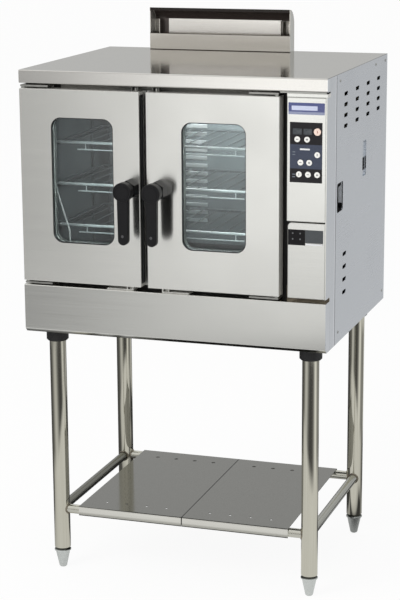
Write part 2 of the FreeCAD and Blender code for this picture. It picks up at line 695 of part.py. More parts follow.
baffle_x, baffle_z = grown(cavity_x, -BAFFLE_MARGIN), grown(cavity_z, -CAVITY_EDGE)
baffle_flange_y = (baffle_y, cavity_back)
baffle = fused([
    slab(baffle_x, (baffle_y, baffle_y + DOOR_SHEET), baffle_z),
    slab(baffle_x, baffle_flange_y, (baffle_z[0], baffle_z[0] + DOOR_SHEET)),
    slab(baffle_x, baffle_flange_y, (baffle_z[1] - DOOR_SHEET, baffle_z[1]))])
grille_x = grown((fan_x - GRILLE_OFFSET, fan_x - GRILLE_OFFSET), GRILLE_WIDTH / 2)
grille_slots = []
grille_rows = int(GRILLE_HEIGHT // GRILLE_PITCH)
for row in range(grille_rows):
    slot_z = fan_z + (row - (grille_rows - 1) / 2) * GRILLE_PITCH
    grille_slots.append(rounded(grille_x, (baffle_y, baffle_y + DOOR_SHEET),
                                grown((slot_z, slot_z), GRILLE_SLOT / 2), 0.45 * GRILLE_SLOT))
keep("fan_baffle", baffle.cut(Part.makeCompound(grille_slots)))

rack_levels = [cavity_z[0] + RACK_RISE + index * RACK_PITCH for index in range(RACK_COUNT)]
rack_y = (frame_back + RACK_FRONT, frame_back + RACK_FRONT + RACK_DEPTH)
rack_x = grown(cavity_x, RACK_BEARING - RUNNER_WIDTH)


def rack_guide(wall, inward):
    """Ladder of runners on two posts against a side wall of the cavity."""
    pieces = []
    for y in grown(rack_y, -2 * GUIDE_POST):
        pieces.append(slab((wall, wall + inward * 2 * SHEET), grown((y, y), GUIDE_POST / 2),
                           grown(cavity_z, -CAVITY_CORNER)))
    for level in rack_levels:
        top = level - RACK_WIRE - CLEARANCE / 2
        pieces.append(slab((wall, wall + inward * RUNNER_WIDTH), rack_y, (top - 2 * SHEET, top)))
    return fused(pieces)


def wire_rack(level):
    """Wire rack: rod frame, wires from front to back, and a second front rail on short ties."""
    long_run, deep_run = rack_x[1] - rack_x[0], RACK_DEPTH - 2 * RACK_WIRE
    front, rear = rack_y[0] + RACK_WIRE, rack_y[1] - RACK_WIRE
    pieces = [bar(V(rack_x[0], y, level), RIGHT, RACK_WIRE, long_run) for y in (front, rear)]
    pieces += [bar(V(x, front, level), BACK, RACK_SIDE, deep_run) for x in grown(rack_x, -RACK_WIRE)]
    gaps = ceil(long_run / RACK_SPACING)
    for index in range(1, gaps):
        x = rack_x[0] + index * long_run / gaps
        pieces.append(bar(V(x, front, level), BACK, RACK_ROD, deep_run))
    tie_x = grown(rack_x, -2 * RUNNER_WIDTH)
    pieces.append(bar(V(tie_x[0], front, level - RACK_DROP), RIGHT, RACK_ROD, tie_x[1] - tie_x[0]))
    for share in (0.05, 0.35, 0.65, 0.95):
        x = tie_x[0] + share * (tie_x[1] - tie_x[0])
        pieces.append(bar(V(x, front, level - RACK_DROP), UP, RACK_TIE, RACK_DROP))
    return fused(pieces)


keep("rack_guides", rack_guide(cavity_x[0], 1), rack_guide(cavity_x[1], -1))
keep("wire_racks", *[wire_rack(level) for level in rack_levels])

# Temperature probe: a capillary down from the cavity's top, bent aside to its floor
probe_y = frame_back + PROBE_SETBACK
probe_start = V(cavity_x[0] + PROBE_SIDE, probe_y, cavity_z[1])
probe_knee = probe_start - UP * PROBE_DROP
probe_bend = V(probe_knee.x + PROBE_SLANT, probe_y, (probe_knee.z + cavity_z[0]) / 2)
probe_end = V(probe_bend.x, probe_y, cavity_z[0])
probe_line = Part.Wire(rounded_chain([probe_start, probe_knee, probe_bend, probe_end], [PROBE_BEND] * 2))
probe_section = Part.Wire(Part.makeCircle(PROBE_RADIUS, probe_start, UP))
keep("heat_probe", probe_line.makePipeShell([probe_section], True, False))

# Fan wheel on its shaft, and the motor on four posts behind the liner
fan_axis = V(fan_x, 0, fan_z)
fan_front = baffle_y + (BAFFLE_SPACE - FAN_WIDTH) / 2
fan_back = fan_front + FAN_WIDTH
motor_front = cavity_back + DOOR_SHEET + MOTOR_SPACE
blade_start = HUB_RADIUS + FAN_RADIUS / 2
wheel = [bar(fan_axis + BACK * (fan_back - BLADE), BACK, FAN_RADIUS, BLADE),
         bar(fan_axis + BACK * (fan_back - FAN_WIDTH / 2), BACK, HUB_RADIUS, FAN_WIDTH / 2),
         bar(fan_axis + BACK * (fan_back - FAN_WIDTH / 2), BACK, SHAFT_RADIUS,
             motor_front + MOTOR_LENGTH / 3 - fan_back + FAN_WIDTH / 2)]
for index in range(FAN_BLADES):
    blade = slab((blade_start, FAN_RADIUS - BLADE), (fan_front, fan_back - BLADE / 2),
                 (-BLADE / 2, BLADE / 2))
    blade.rotate(V(blade_start, 0, 0), BACK, 30)
    blade.rotate(V(), BACK, index * 360 / FAN_BLADES)
    blade.translate(fan_axis)
    wheel.append(blade)
keep("fan_wheel", fused(wheel))

motor = fused([bar(fan_axis + BACK * motor_front, BACK, MOTOR_RADIUS, MOTOR_LENGTH)] + [
    bar(fan_axis + BACK * (cavity_back + DOOR_SHEET) + RIGHT * x + UP * z, BACK, MOTOR_POST, MOTOR_SPACE)
    for x in grown((0, 0), MOTOR_RADIUS / 2) for z in grown((0, 0), MOTOR_RADIUS / 2)])
shaft_bore = bar(fan_axis + BACK * motor_front, BACK, SHAFT_RADIUS + RUNNING_FIT,
                 MOTOR_LENGTH / 3 + MOTOR_SPACE / 4)
keep("fan_motor", motor.cut(shaft_bore))

# Burner tubes on a manifold, standing on the base pan under the liner
burner_z = BODY_BOTTOM + BURNER_RISE
manifold_y = (2 * flange_end, 2 * flange_end + MANIFOLD)
tube_xs = [fan_x + (index - (BURNER_TUBES - 1) / 2) * BURNER_PITCH for index in range(BURNER_TUBES)]
burner = [slab(grown((tube_xs[0], tube_xs[-1]), MANIFOLD), manifold_y,
               grown((burner_z, burner_z), MANIFOLD / 2))]
for x in tube_xs:
    burner.append(bar(V(x, manifold_y[1] - SHEET, burner_z), BACK, BURNER_RADIUS, BURNER_LENGTH))
    for y in (sum(manifold_y) / 2, manifold_y[1] + BURNER_LENGTH * 0.8):
        burner.append(bar(V(x, y, BODY_BOTTOM + SHEET), UP, BURNER_RADIUS / 3, BURNER_RISE - SHEET))
keep("burner", fused(burner))

# Gas valve on the base pan, with its pipe out through the back
valve_x = grown((inlet_x, inlet_x), VALVE_SIZE / 2)
valve_z = (BODY_BOTTOM + SHEET, inlet_z + VALVE_SIZE / 2)
valve_y = (DEPTH / 2 - VALVE_SIZE, DEPTH / 2)
pipe_start = V(inlet_x, valve_y[1] - VALVE_SIZE / 3, inlet_z)
valve = fused([slab(valve_x, valve_y, valve_z),
               bar(pipe_start, BACK, PIPE_RADIUS, rear_reach - STUB_LENGTH - pipe_start.y),
               bar(pipe_start, BACK, STUB_RADIUS, rear_reach - pipe_start.y)])
keep("gas_valve", valve.cut(bar(pipe_start, BACK, PIPE_BORE, rear_reach - pipe_start.y)))

# Cable gland: a collar outside the back panel, a nut inside and the bore through both
gland_start = V(inlet_x, casing_back - SHEET * 4, gland_z)
gland = fused([
    bar(gland_start, BACK, GLAND_RADIUS, SHEET * 4),
    bar(gland_start, BACK, GLAND_RADIUS - 2 * SHEET, SHEET * 5),
    bar(V(inlet_x, DEPTH, gland_z), BACK, GLAND_RADIUS, GLAND_REACH)])
keep("cable_gland", gland.cut(bar(gland_start, BACK, GLAND_BORE, SHEET * 5 + GLAND_REACH)))


# Controls: panel, keypad with its keys and board, lower cover with the lamp window
control_x = (control_left, control_right)
control_z = (door_top - CONTROL_HEIGHT, door_top)
keypad_x = (control_left + KEYPAD_INSET, control_left + KEYPAD_INSET + KEYPAD_WIDTH)
keypad_z = (door_top - KEYPAD_DROP - KEYPAD_HEIGHT, door_top - KEYPAD_DROP)
panel = tray(control_x, (0, frame_front), control_z, SHEET, DOOR_EDGE)

# Each key's place from the keypad's lower left corner, and its radius
key_middle = KEY_RIGHT - KEY_PITCH
key_left = KEY_RIGHT - 2 * KEY_PITCH
keys = {
    "power_key": (KEY_RIGHT, KEY_ROWS["power"], POWER_KEY_RADIUS),
    "upper_left_key": (key_left - KEY_PITCH / 5, KEY_ROWS["upper"], KEY_RADIUS),
    "upper_right_key": (key_middle - KEY_PITCH / 8, KEY_ROWS["upper"], KEY_RADIUS),
    "timer_key": (KEY_RIGHT, KEY_ROWS["timer"], KEY_RADIUS),
    "middle_left_key": (key_left + KEY_PITCH / 6, KEY_ROWS["middle"], KEY_RADIUS),
    "middle_right_key": (key_middle + KEY_PITCH / 8, KEY_ROWS["middle"], KEY_RADIUS),
    "lower_left_key": (key_left, KEY_ROWS["lower"], KEY_RADIUS),
    "lower_middle_key": (key_middle, KEY_ROWS["lower"], KEY_RADIUS),
    "lower_right_key": (KEY_RIGHT, KEY_ROWS["lower"], KEY_RADIUS),
}
keypad = slab(keypad_x, (-KEYPAD_PLATE, 0), keypad_z)
key_back = SHEET + CLEARANCE
board_front = key_back + KEY_FLANGE + KEY_STEM + KEY_TRAVEL + SLOT_PLAY + SWITCH_HEIGHT
board = [slab(grown(keypad_x, -SHEET), (board_front, board_front + BOARD), grown(keypad_z, -SHEET))]
for x in grown(keypad_x, -BOARD_POST_INSET):
    for z in grown(keypad_z, -BOARD_POST_INSET):
        board.append(bar(V(x, SHEET, z), BACK, BOARD_POST, board_front - SHEET + BOARD))
for key_name, (across, up, radius) in keys.items():
    place = V(keypad_x[0] + across, 0, keypad_z[0] + up)
    cap_front = place - BACK * (KEYPAD_PLATE + KEY_PROUD)
    cap = bar(cap_front, BACK, radius, KEYPAD_PLATE + KEY_PROUD + key_back)
    rim = [e for e in cap.Edges if e.BoundBox.YMax < cap_front.y + CLEARANCE]
    flange = bar(place + BACK * key_back, BACK, radius + KEY_FLANGE, KEY_FLANGE)
    stem = bar(place + BACK * key_back, BACK, radius / 3, KEY_FLANGE + KEY_STEM)
    keep(key_name, fused([cap.makeFillet(KEY_PROUD / 2, rim), flange, stem]))
    key_hole = bar(place - BACK * KEYPAD_PLATE, BACK, radius + CLEARANCE, KEYPAD_PLATE + SHEET)
    keypad = keypad.cut(key_hole)
    panel = panel.cut(key_hole)
    board.append(bar(place + BACK * (board_front - SWITCH_HEIGHT), BACK, radius / 2, SWITCH_HEIGHT))
keep("control_panel", panel)
keep("keypad_plate", keypad)
keep("switch_board", fused(board))

cover_x = (control_left + COVER_INSET, control_right)
cover_z = (door_bottom, control_z[0] - COVER_GAP)
lamp_x = (cover_x[0] + LAMP_INSET, cover_x[0] + LAMP_INSET + LAMP_WIDTH)
lamp_z = (cover_z[1] - LAMP_DROP - LAMP_HEIGHT, cover_z[1] - LAMP_DROP)
lens_x = (lamp_x[1] + SEAM, lamp_x[1] + SEAM + LENS_WIDTH)
lens_z = (lamp_z[1] - LENS_HEIGHT, lamp_z[1])
cover = slab(cover_x, (0, frame_front), cover_z)
cover_corner = [e for e in edges_along(cover, BACK)
                if e.BoundBox.XMax < cover_x[0] + SHEET and e.BoundBox.ZMin > cover_z[1] - SHEET]
cover = cover.makeFillet(COVER_CORNER, cover_corner)
cover = cover.makeFillet(DOOR_EDGE, [e for e in cover.Edges if e.BoundBox.YMax < SHEET])
hollow = slab(grown(cover_x, -SHEET), (SHEET, frame_front), grown(cover_z, -SHEET))
hollow_corner = [e for e in edges_along(hollow, BACK)
                 if e.BoundBox.XMax < cover_x[0] + 2 * SHEET and e.BoundBox.ZMin > cover_z[1] - 2 * SHEET]
cover = cover.cut(hollow.makeFillet(COVER_CORNER - SHEET, hollow_corner))
lamp_body = (grown(lamp_x, -LAMP_RIM), grown(lamp_z, -LAMP_RIM))
lens_body = (grown(lens_x, -LAMP_RIM), grown(lens_z, -LAMP_RIM))
for hole_x, hole_z in (lamp_body, lens_body):
    cover = cover.cut(slab(grown(hole_x, CLEARANCE), (0, SHEET), grown(hole_z, CLEARANCE)))
keep("lower_cover", cover)
lamp_block = fused([slab(lamp_x, (-LAMP_PROUD, 0), lamp_z),
                    slab(lamp_body[0], (-LAMP_PROUD, LAMP_DEPTH), lamp_body[1])])
lamp_lens = fused([slab(lens_x, (-LAMP_PROUD, 0), lens_z),
                   slab(lens_body[0], (-LAMP_PROUD, LAMP_DEPTH / 2), lens_body[1])])
keep("lamp_window", lamp_block, lamp_lens)


# Doors: both are drawn from their hinge edge towards the meeting edge
crank_reach = CRANK_RADIUS * cos(radians(CRANK_SWING / 2))
crank_lift = CRANK_RADIUS * sin(radians(CRANK_SWING / 2))
rod_side = (crank_reach + CRANK_RADIUS) / 2
lock_back = DOOR_SHEET + LOCK_DEPTH
crank_front = lock_back + SLOT_PLAY
eye_front = crank_front + CRANK_PLATE + SLOT_PLAY
rod_y = eye_front + CRANK_PLATE / 2
window_z = (door_bottom + WINDOW_RISE, door_bottom + WINDOW_RISE + WINDOW_HEIGHT)
door_z = (door_bottom, door_top)
liner_front = DOOR_THICKNESS - DOOR_SHEET
pane_back = liner_front - REVEAL_DEPTH / 2


class Door:
    """One door: which way it runs from its hinge edge, and where its parts lie across it."""

    def __init__(self, name, hinge_edge, run, width, handle_inset, window_stile):
        self.name = name
        self.hinge_edge = hinge_edge
        self.run = run
        self.width = width
        self.pin_x = self.at(PIN_INSET)
        self.handle_x = self.at(width - handle_inset)
        self.window_x = (self.at(WINDOW_INSET), self.at(width - window_stile))
        self.upper_rod_x = self.handle_x + run * rod_side
        self.lower_rod_x = self.handle_x - run * rod_side

    def at(self, across):
        return self.hinge_edge + self.run * across


def window_ring(door, y):
    """Flange round the window, one sheet thick."""
    outer = rounded(grown(door.window_x, DOOR_SHEET), y, grown(window_z, DOOR_SHEET),
                    WINDOW_CORNER + DOOR_SHEET)
    return outer.cut(rounded(door.window_x, y, window_z, WINDOW_CORNER))


def door_skin(door):
    """Outer skin: face, edge walls, window reveal, pivot blocks and the lock's bearing block."""
    skin = tray((door.at(0), door.at(door.width)), (0, liner_front), door_z, DOOR_SHEET, DOOR_EDGE)
    skin = skin.cut(rounded(door.window_x, (0, DOOR_SHEET), window_z, WINDOW_CORNER))
    inside = DOOR_SHEET / 2
    block_x = (door.at(inside), door.at(inside + PIVOT_BLOCK))
    block_y = (inside, inside + PIVOT_BLOCK)
    depth = PIN_ENTRY + PIN_RADIUS
    blocks = [slab(block_x, block_y, (door_bottom + inside, door_bottom + depth)),
              slab(block_x, block_y, (door_top - depth, door_top - inside)),
              slab(grown((door.handle_x, door.handle_x), LOCK_BLOCK / 2), (inside, lock_back),
                   grown((handle_z, handle_z), LOCK_BLOCK / 2))]
    skin = fused([skin, window_ring(door, (0, REVEAL_DEPTH))] + blocks)
    pin_hole, rod_hole = PIN_RADIUS + RUNNING_FIT, ROD_RADIUS + 2 * RUNNING_FIT
    drills = [bar(V(door.pin_x, PIN_INSET, door_bottom), UP, pin_hole, PIN_ENTRY + CLEARANCE),
              bar(V(door.pin_x, PIN_INSET, door_top), -UP, pin_hole, PIN_ENTRY + CLEARANCE),
              bar(V(door.upper_rod_x, rod_y, door_top), -UP, rod_hole, DOOR_SHEET),
              bar(V(door.lower_rod_x, rod_y, door_bottom), UP, rod_hole, DOOR_SHEET),
              bar(V(door.handle_x, 0, handle_z), BACK, SPINDLE_RADIUS + RUNNING_FIT, lock_back)]
    return skin.cut(Part.makeCompound(drills))


def door_liner(door):
    """Inner pan that closes the skin's back, with a lip into the gap between the doors."""
    lip = DOOR_GAP / 2 - LIP_CLEARANCE / 2
    plate = slab((door.at(0), door.at(door.width + lip)), (liner_front, DOOR_THICKNESS), door_z)
    plate = plate.cut(rounded(door.window_x, (liner_front, DOOR_THICKNESS), window_z, WINDOW_CORNER))
    return fused([plate, window_ring(door, (pane_back, DOOR_THICKNESS))])


def door_glass(door):
    """Outer pane behind the reveal and inner pane on the inner pan's flange."""
    pane_x, pane_z = grown(door.window_x, GLASS_LAP), grown(window_z, GLASS_LAP)
    corner = WINDOW_CORNER + GLASS_LAP / 2
    return [rounded(pane_x, (REVEAL_DEPTH, REVEAL_DEPTH + GLASS), pane_z, corner),
            rounded(pane_x, (pane_back - GLASS, pane_back), pane_z, corner)]


def handle(door):
    """Lever handle: six-sided base, cone, round boss with a cap line, and the lever under it."""
    axis = V(door.handle_x, 0, handle_z)
    corners = [axis + V(BASE_RADIUS * sin(radians(a)), -CLEARANCE, BASE_RADIUS * cos(radians(a)))
               for a in range(0, 360, 60)]
    base = prism(corners, -BACK * (BASE_HEIGHT - CLEARANCE))
    cone = Part.makeCone(BASE_RADIUS * cos(radians(30)), NECK_RADIUS, CONE_HEIGHT,
                         axis - BACK * BASE_HEIGHT, -BACK)
    neck = bar(axis - BACK * BASE_HEIGHT, -BACK, NECK_RADIUS,
               HANDLE_REACH - BASE_HEIGHT - LEVER_THICKNESS)
    boss = bar(axis - BACK * HANDLE_REACH, BACK, BOSS_RADIUS, LEVER_THICKNESS)
    rim = [e for e in boss.Edges if e.BoundBox.YMax < -HANDLE_REACH + SHEET]
    boss = boss.makeFillet(LEVER_EDGE / 2, rim)
    front = axis - BACK * (HANDLE_REACH - LEVER_EDGE / 2)
    half, tip = LEVER_WIDTH / 2, LEVER_TIP_WIDTH / 2
    low = LEVER_LENGTH - tip
    outline = ((-half, 0), (-tip, -low), (0, -LEVER_LENGTH), (tip, -low), (half, 0))
    points = [front + V(x, 0, z) for x, z in outline]
    edges = [Part.makeLine(points[0], points[1]), Part.Arc(*points[1:4]).toShape(),
             Part.makeLine(points[3], points[4])]
    lever = closed_face(edges).extrude(BACK * (LEVER_THICKNESS - LEVER_EDGE / 2))
    rims = [e for e in lever.Edges if e.BoundBox.ZMin < handle_z - half
            and e.BoundBox.YMax - e.BoundBox.YMin < SHEET]
    lever = lever.makeFillet(LEVER_EDGE, rims)
    groove = ring(axis - BACK * HANDLE_REACH, BACK, CAP_RADIUS, CAP_RADIUS - CAP_GROOVE, CAP_GROOVE)
    shape = fused([base, cone, neck, boss, lever]).cut(groove)
    return shape.cut(bar(axis, -BACK, SPINDLE_RADIUS + RUNNING_FIT, SPINDLE_ENTRY + CLEARANCE))


def spindle(door):
    """Steel spindle through the door, with a two-armed crank and its pins."""
    axis = V(door.handle_x, 0, handle_z)
    half = CRANK_RADIUS + 2 * CRANK_PIN
    arm = rounded(grown((door.handle_x, door.handle_x), half), (crank_front, crank_front + CRANK_PLATE),
                  grown((handle_z, handle_z), 2 * CRANK_PIN + SHEET), 2 * CRANK_PIN)
    pieces = [arm]
    for side in (-1, 1):
        pieces.append(bar(axis + V(side * CRANK_RADIUS, crank_front, 0), BACK, CRANK_PIN,
                          2 * CRANK_PLATE + 2 * SLOT_PLAY))
    crank = fused(pieces)
    crank.rotate(axis, BACK, -door.run * CRANK_SWING / 2)
    shaft = bar(axis - BACK * SPINDLE_ENTRY, BACK, SPINDLE_RADIUS,
                SPINDLE_ENTRY + crank_front + CRANK_PLATE)
    return fused([shaft, crank])


def latch_rod(x, up, end):
    """Latch rod with a slotted eye on the crank's pin, running out through the door's edge."""
    eye_x = grown((x, x), ROD_EYE / 2)
    eye_y = (eye_front, eye_front + CRANK_PLATE)
    pin_z = handle_z + up * crank_lift
    neck = handle_z + up * ROD_EYE_LENGTH
    eye = slab(eye_x, eye_y, (pin_z - up * ROD_EYE / 2, neck))
    slot = rounded(grown((x, x), CRANK_RADIUS - rod_side + CRANK_PIN + SLOT_PLAY), eye_y,
                   grown((pin_z, pin_z), CRANK_PIN + SLOT_PLAY), CRANK_PIN)
    shaft = bar(V(x, rod_y, neck - up * ROD_RADIUS), UP * up, ROD_RADIUS, abs(end - neck) + ROD_RADIUS)
    return fused([eye.cut(slot), shaft])


def keeper(door, up):
    """Open-fronted keeper on the frame: a plate over the rod's tip with an ear on each side."""
    x = door.upper_rod_x if up > 0 else door.lower_rod_x
    edge = door_top if up > 0 else door_bottom
    seat = fascia_bottom if up > 0 else skirt_top
    plate_z = (seat - up * CLEARANCE, seat - up * (CLEARANCE + KEEPER_PLATE))
    ear = ROD_RADIUS + KEEPER_PLAY
    plate_x = (x + door.run * (ear + KEEPER_EAR), x + door.run * (ear + KEEPER_EAR - KEEPER_LENGTH))
    ear_z = (plate_z[1], edge + up * SHEET)
    ear_y = (rod_y - 2 * ROD_RADIUS, rod_y + 2 * ROD_RADIUS)
    pieces = [slab(plate_x, (ear_y[0], frame_front), plate_z)]
    for side in (-1, 1):
        pieces.append(slab((x + side * ear, x + side * (ear + KEEPER_EAR)), ear_y, ear_z))
    return fused(pieces)


def hinge_bracket(door, up):
    """Hinge arm on the frame with a pin into the door's edge, shouldered under the door."""
    edge = door_top if up > 0 else door_bottom
    seat = fascia_bottom if up > 0 else skirt_top
    middle = (edge + seat) / 2
    plate_z = grown((middle, middle), BRACKET_PLATE / 2)
    far = door.at(BRACKET_NOSE + BRACKET_LENGTH)
    arm = slab((door.at(BRACKET_NOSE), far), (BRACKET_NOSE, frame_front), plate_z)
    flange = slab((door.at(2 * PIVOT_BLOCK), far), (frame_front - 2 * SHEET, frame_front),
                  (edge + up * SHEET, seat - up * SHEET))
    pin = bar(V(door.pin_x, PIN_INSET, middle), -UP * up, PIN_RADIUS, abs(middle - edge) + PIN_ENTRY)
    shoulder = bar(V(door.pin_x, PIN_INSET, middle), -UP * up, SHOULDER_RADIUS,
                   abs(middle - edge) - CLEARANCE)
    return fused([arm, flange, pin, shoulder])


doors = [Door("left", 0, 1, LEFT_DOOR_WIDTH, LEFT_HANDLE_INSET, LEFT_WINDOW_STILE),
         Door("right", right_door_right, -1, right_door_right - right_door_left, RIGHT_HANDLE_INSET,
              RIGHT_WINDOW_STILE)]
for door in doors:
    keep(door.name + "_door_skin", door_skin(door))
    keep(door.name + "_door_liner", door_liner(door))
    keep(door.name + "_door_glass", *door_glass(door))
    keep(door.name + "_handle", handle(door))
    keep(door.name + "_spindle", spindle(door))
    keep(door.name + "_upper_rod", latch_rod(door.upper_rod_x, 1, door_top + ROD_REACH))
    keep(door.name + "_lower_rod", latch_rod(door.lower_rod_x, -1, door_bottom - ROD_REACH))
keep("latch_keepers", *[keeper(door, up) for door in doors for up in (1, -1)])
keep("hinge_brackets", *[hinge_bracket(door, up) for door in doors for up in (1, -1)])
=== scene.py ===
import math

import bpy
from mathutils import Matrix, Vector


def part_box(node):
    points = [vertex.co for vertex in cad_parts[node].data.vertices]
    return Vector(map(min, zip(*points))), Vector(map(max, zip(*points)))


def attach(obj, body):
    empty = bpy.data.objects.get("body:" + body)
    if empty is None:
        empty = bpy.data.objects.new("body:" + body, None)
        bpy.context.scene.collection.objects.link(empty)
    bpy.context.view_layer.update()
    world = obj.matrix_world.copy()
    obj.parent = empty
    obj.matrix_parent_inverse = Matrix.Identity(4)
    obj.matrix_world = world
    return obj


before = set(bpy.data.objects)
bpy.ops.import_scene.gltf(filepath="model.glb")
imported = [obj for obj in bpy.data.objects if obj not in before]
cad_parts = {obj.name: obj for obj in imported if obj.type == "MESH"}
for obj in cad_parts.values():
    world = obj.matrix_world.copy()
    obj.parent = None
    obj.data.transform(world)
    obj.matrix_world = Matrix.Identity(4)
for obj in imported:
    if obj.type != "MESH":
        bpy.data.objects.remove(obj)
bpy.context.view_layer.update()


# Feet: four alloy castings, each a sloped flange over a tapering cone. Their skin is satin and a
# little grainy, and each one screws into the nut at the lower end of its leg. A dark band painted
# above the flange's rim is painted shade in the joint.
def tone(red, green, blue):
    """A colour as it is read off a screen, 0 to 255, as the shader's own values."""
    levels = [value / 255 for value in (red, green, blue)]
    return [v / 12.92 if v < 0.04045 else ((v + 0.055) / 1.055) ** 2.4 for v in levels] + [1.0]


def shades(red, green, blue, drop):
    """A light tone, and the dark one that is lower by a drop all through."""
    return tone(red, green, blue), tone(red - drop, green - drop, blue - drop)


def shader_of(coat):
    """The shader of a finish."""
    return coat.node_tree.nodes["Principled BSDF"]


def finish(name, **plain):
    """A new finish with the plain values set on its shader."""
    coat = bpy.data.materials.new(name)
    coat.use_nodes = True
    for socket, value in plain.items():
        shader_of(coat).inputs[socket.replace("_", " ")].default_value = value
    return coat


def step(tree, kind, settings=(), **feeds):
    """Adds a node to a finish or an effect and feeds its inputs by name or, as in _0, by number."""
    made = tree.nodes.new("ShaderNode" + kind)
    for key, value in dict(settings).items():
        setattr(made, key, value)
    for key, value in feeds.items():
        socket = made.inputs[int(key[1:]) if key[1:].isdigit() else key.replace("_", " ")]
        if isinstance(value, bpy.types.NodeSocket):
            tree.links.new(value, socket)
        else:
            socket.default_value = value
    return made


def worked(tree, operation, *values):
    """One sum on the values given, such as MULTIPLY or SUBTRACT."""
    feeds = {"_%d" % number: value for number, value in enumerate(values)}
    return step(tree, "Math", {"operation": operation}, **feeds).outputs["Value"]


def between(tree, share, low, high):
    """The colour that goes from low to high as share goes from 0 to 1."""
    mixed = step(tree, "Mix", {"data_type": "RGBA"}, _0=share, _6=low, _7=high)
    return mixed.outputs[2]


def ranged(tree, value, low, high, start=0.0, end=1.0):
    """A value that goes from low to high as the one that feeds it goes from start to end."""
    spread = step(tree, "MapRange", Value=value, From_Min=start, From_Max=end, To_Min=low, To_Max=high)
    return spread.outputs["Result"]


def object_place(tree):
    """The place of a point in its piece."""
    return step(tree, "TexCoord").outputs["Object"]


def parts_of(tree, vector):
    """The X, Y and Z of a place or a direction."""
    return step(tree, "SeparateXYZ", Vector=vector).outputs


def effect(name, **inputs):
    """A shared effect: a node group with a Vector, named values and one Mask that it puts out."""
    group = bpy.data.node_groups.new(name, "ShaderNodeTree")
    group.interface.new_socket("Vector", in_out="INPUT", socket_type="NodeSocketVector")
    for label, value in inputs.items():
        socket = group.interface.new_socket(label, in_out="INPUT", socket_type="NodeSocketFloat")
        socket.default_value = value
    group.interface.new_socket("Mask", in_out="OUTPUT", socket_type="NodeSocketFloat")
    return group, group.nodes.new("NodeGroupInput").outputs, group.nodes.new("NodeGroupOutput").inputs


def mask(tree, group, vector, **values):
    """Places a shared effect in a finish with its own values, and gives its mask."""
    placed = step(tree, "Group", {"node_tree": group}, Vector=vector, **values)
    return placed.outputs["Mask"]


surface_grain, grain_in, grain_out = effect("surface_grain", Size=600.0)
fine_noise = step(surface_grain, "TexNoise", Vector=grain_in["Vector"], Scale=grain_in["Size"], Detail=3.0)
grains = ranged(surface_grain, fine_noise.outputs["Fac"], 0.0, 1.0, 0.3, 0.7)
surface_grain.links.new(grains, grain_out["Mask"])

handling_marks, marks_in, marks_out = effect("handling_marks", Size=6.0, Cover=0.5)
cloud = step(handling_marks, "TexNoise", Vector=marks_in["Vector"], Scale=marks_in["Size"], Detail=5.0)
patches = ranged(handling_marks, cloud.outputs["Fac"], 0.0, 1.0, 0.46, 0.72)
marked = worked(handling_marks, "MULTIPLY", patches, marks_in["Cover"])
handling_marks.links.new(marked, marks_out["Mask"])


def surfaced(coat, pattern, smear, light, dark, rough, scuff, relief, height):
    """Feeds a finish's colour, roughness and bump from its pattern and from its handling marks."""
    tree = coat.node_tree
    sockets = shader_of(coat).inputs
    clean = between(tree, pattern, dark, light)
    tree.links.new(between(tree, smear, clean, dark), sockets["Base Color"])
    worn = worked(tree, "MULTIPLY_ADD", smear, scuff, ranged(tree, pattern, *rough))
    tree.links.new(worn, sockets["Roughness"])
    bump = step(tree, "Bump", Height=pattern, Strength=relief, Distance=height)
    tree.links.new(bump.outputs["Normal"], sockets["Normal"])
    return coat


def grained(name, light, dark, rough, size, height, marks=0.5, **plain):
    """A finish with an even fine grain: castings, mouldings, paint and rubber."""
    coat = finish(name, **plain)
    tree = coat.node_tree
    place = object_place(tree)
    grain = mask(tree, surface_grain, place, Size=size)
    smear = mask(tree, handling_marks, place, Size=9.0, Cover=marks)
    return surfaced(coat, grain, smear, light, dark, rough, scuff=0.12, relief=0.35, height=height)


def within(tree, place, soft=0.0005, **spans):
    """A mask that is 1 where a place lies between the two limits given for each named axis."""
    parts = parts_of(tree, place)
    share = 1.0
    for axis, (start, end) in spans.items():
        above = ranged(tree, parts[axis], 0.0, 1.0, start - soft, start + soft)
        below = ranged(tree, parts[axis], 1.0, 0.0, end - soft, end + soft)
        share = worked(tree, "MULTIPLY", worked(tree, "MULTIPLY", above, below), share)
    return share


def painted(coat, light, dark, metal=None, soft=0.0005, **spans):
    """Changes the colour of a finish, and how far it is metal, between limits on the named axes."""
    tree = coat.node_tree
    sockets = shader_of(coat).inputs
    ground = sockets["Base Color"].links[0].from_socket
    place = object_place(tree)
    share = within(tree, place, soft, **spans)
    patch = between(tree, mask(tree, surface_grain, place, Size=500.0), dark, light)
    tree.links.new(between(tree, share, ground, patch), sockets["Base Color"])
    if metal is not None:
        socket = sockets["Metallic"]
        outside = socket.links[0].from_socket if socket.is_linked else socket.default_value
        tree.links.new(ranged(tree, share, outside, metal), socket)
    return coat


def dress(coat, *names):
    """Gives CAD nodes a finish."""
    for name in names:
        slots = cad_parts[name].data.materials
        for place in range(len(slots)):
            slots[place] = coat


FOOT_RIM = 0.0577
FOOT_TOP = 0.0777
feet = ["foot_front_left", "foot_front_right", "foot_rear_left", "foot_rear_right"]
cast_alloy = grained("cast_alloy", *shades(222, 226, 223, 11), (0.16, 0.24), 300.0, 0.0001, Metallic=0.85)
# painted shade: a dark band above the flange's rim, in the joint under the leg
painted(cast_alloy, *shades(92, 94, 90, 22), soft=0.001, Z=(FOOT_RIM, FOOT_TOP))
dress(cast_alloy, *feet)
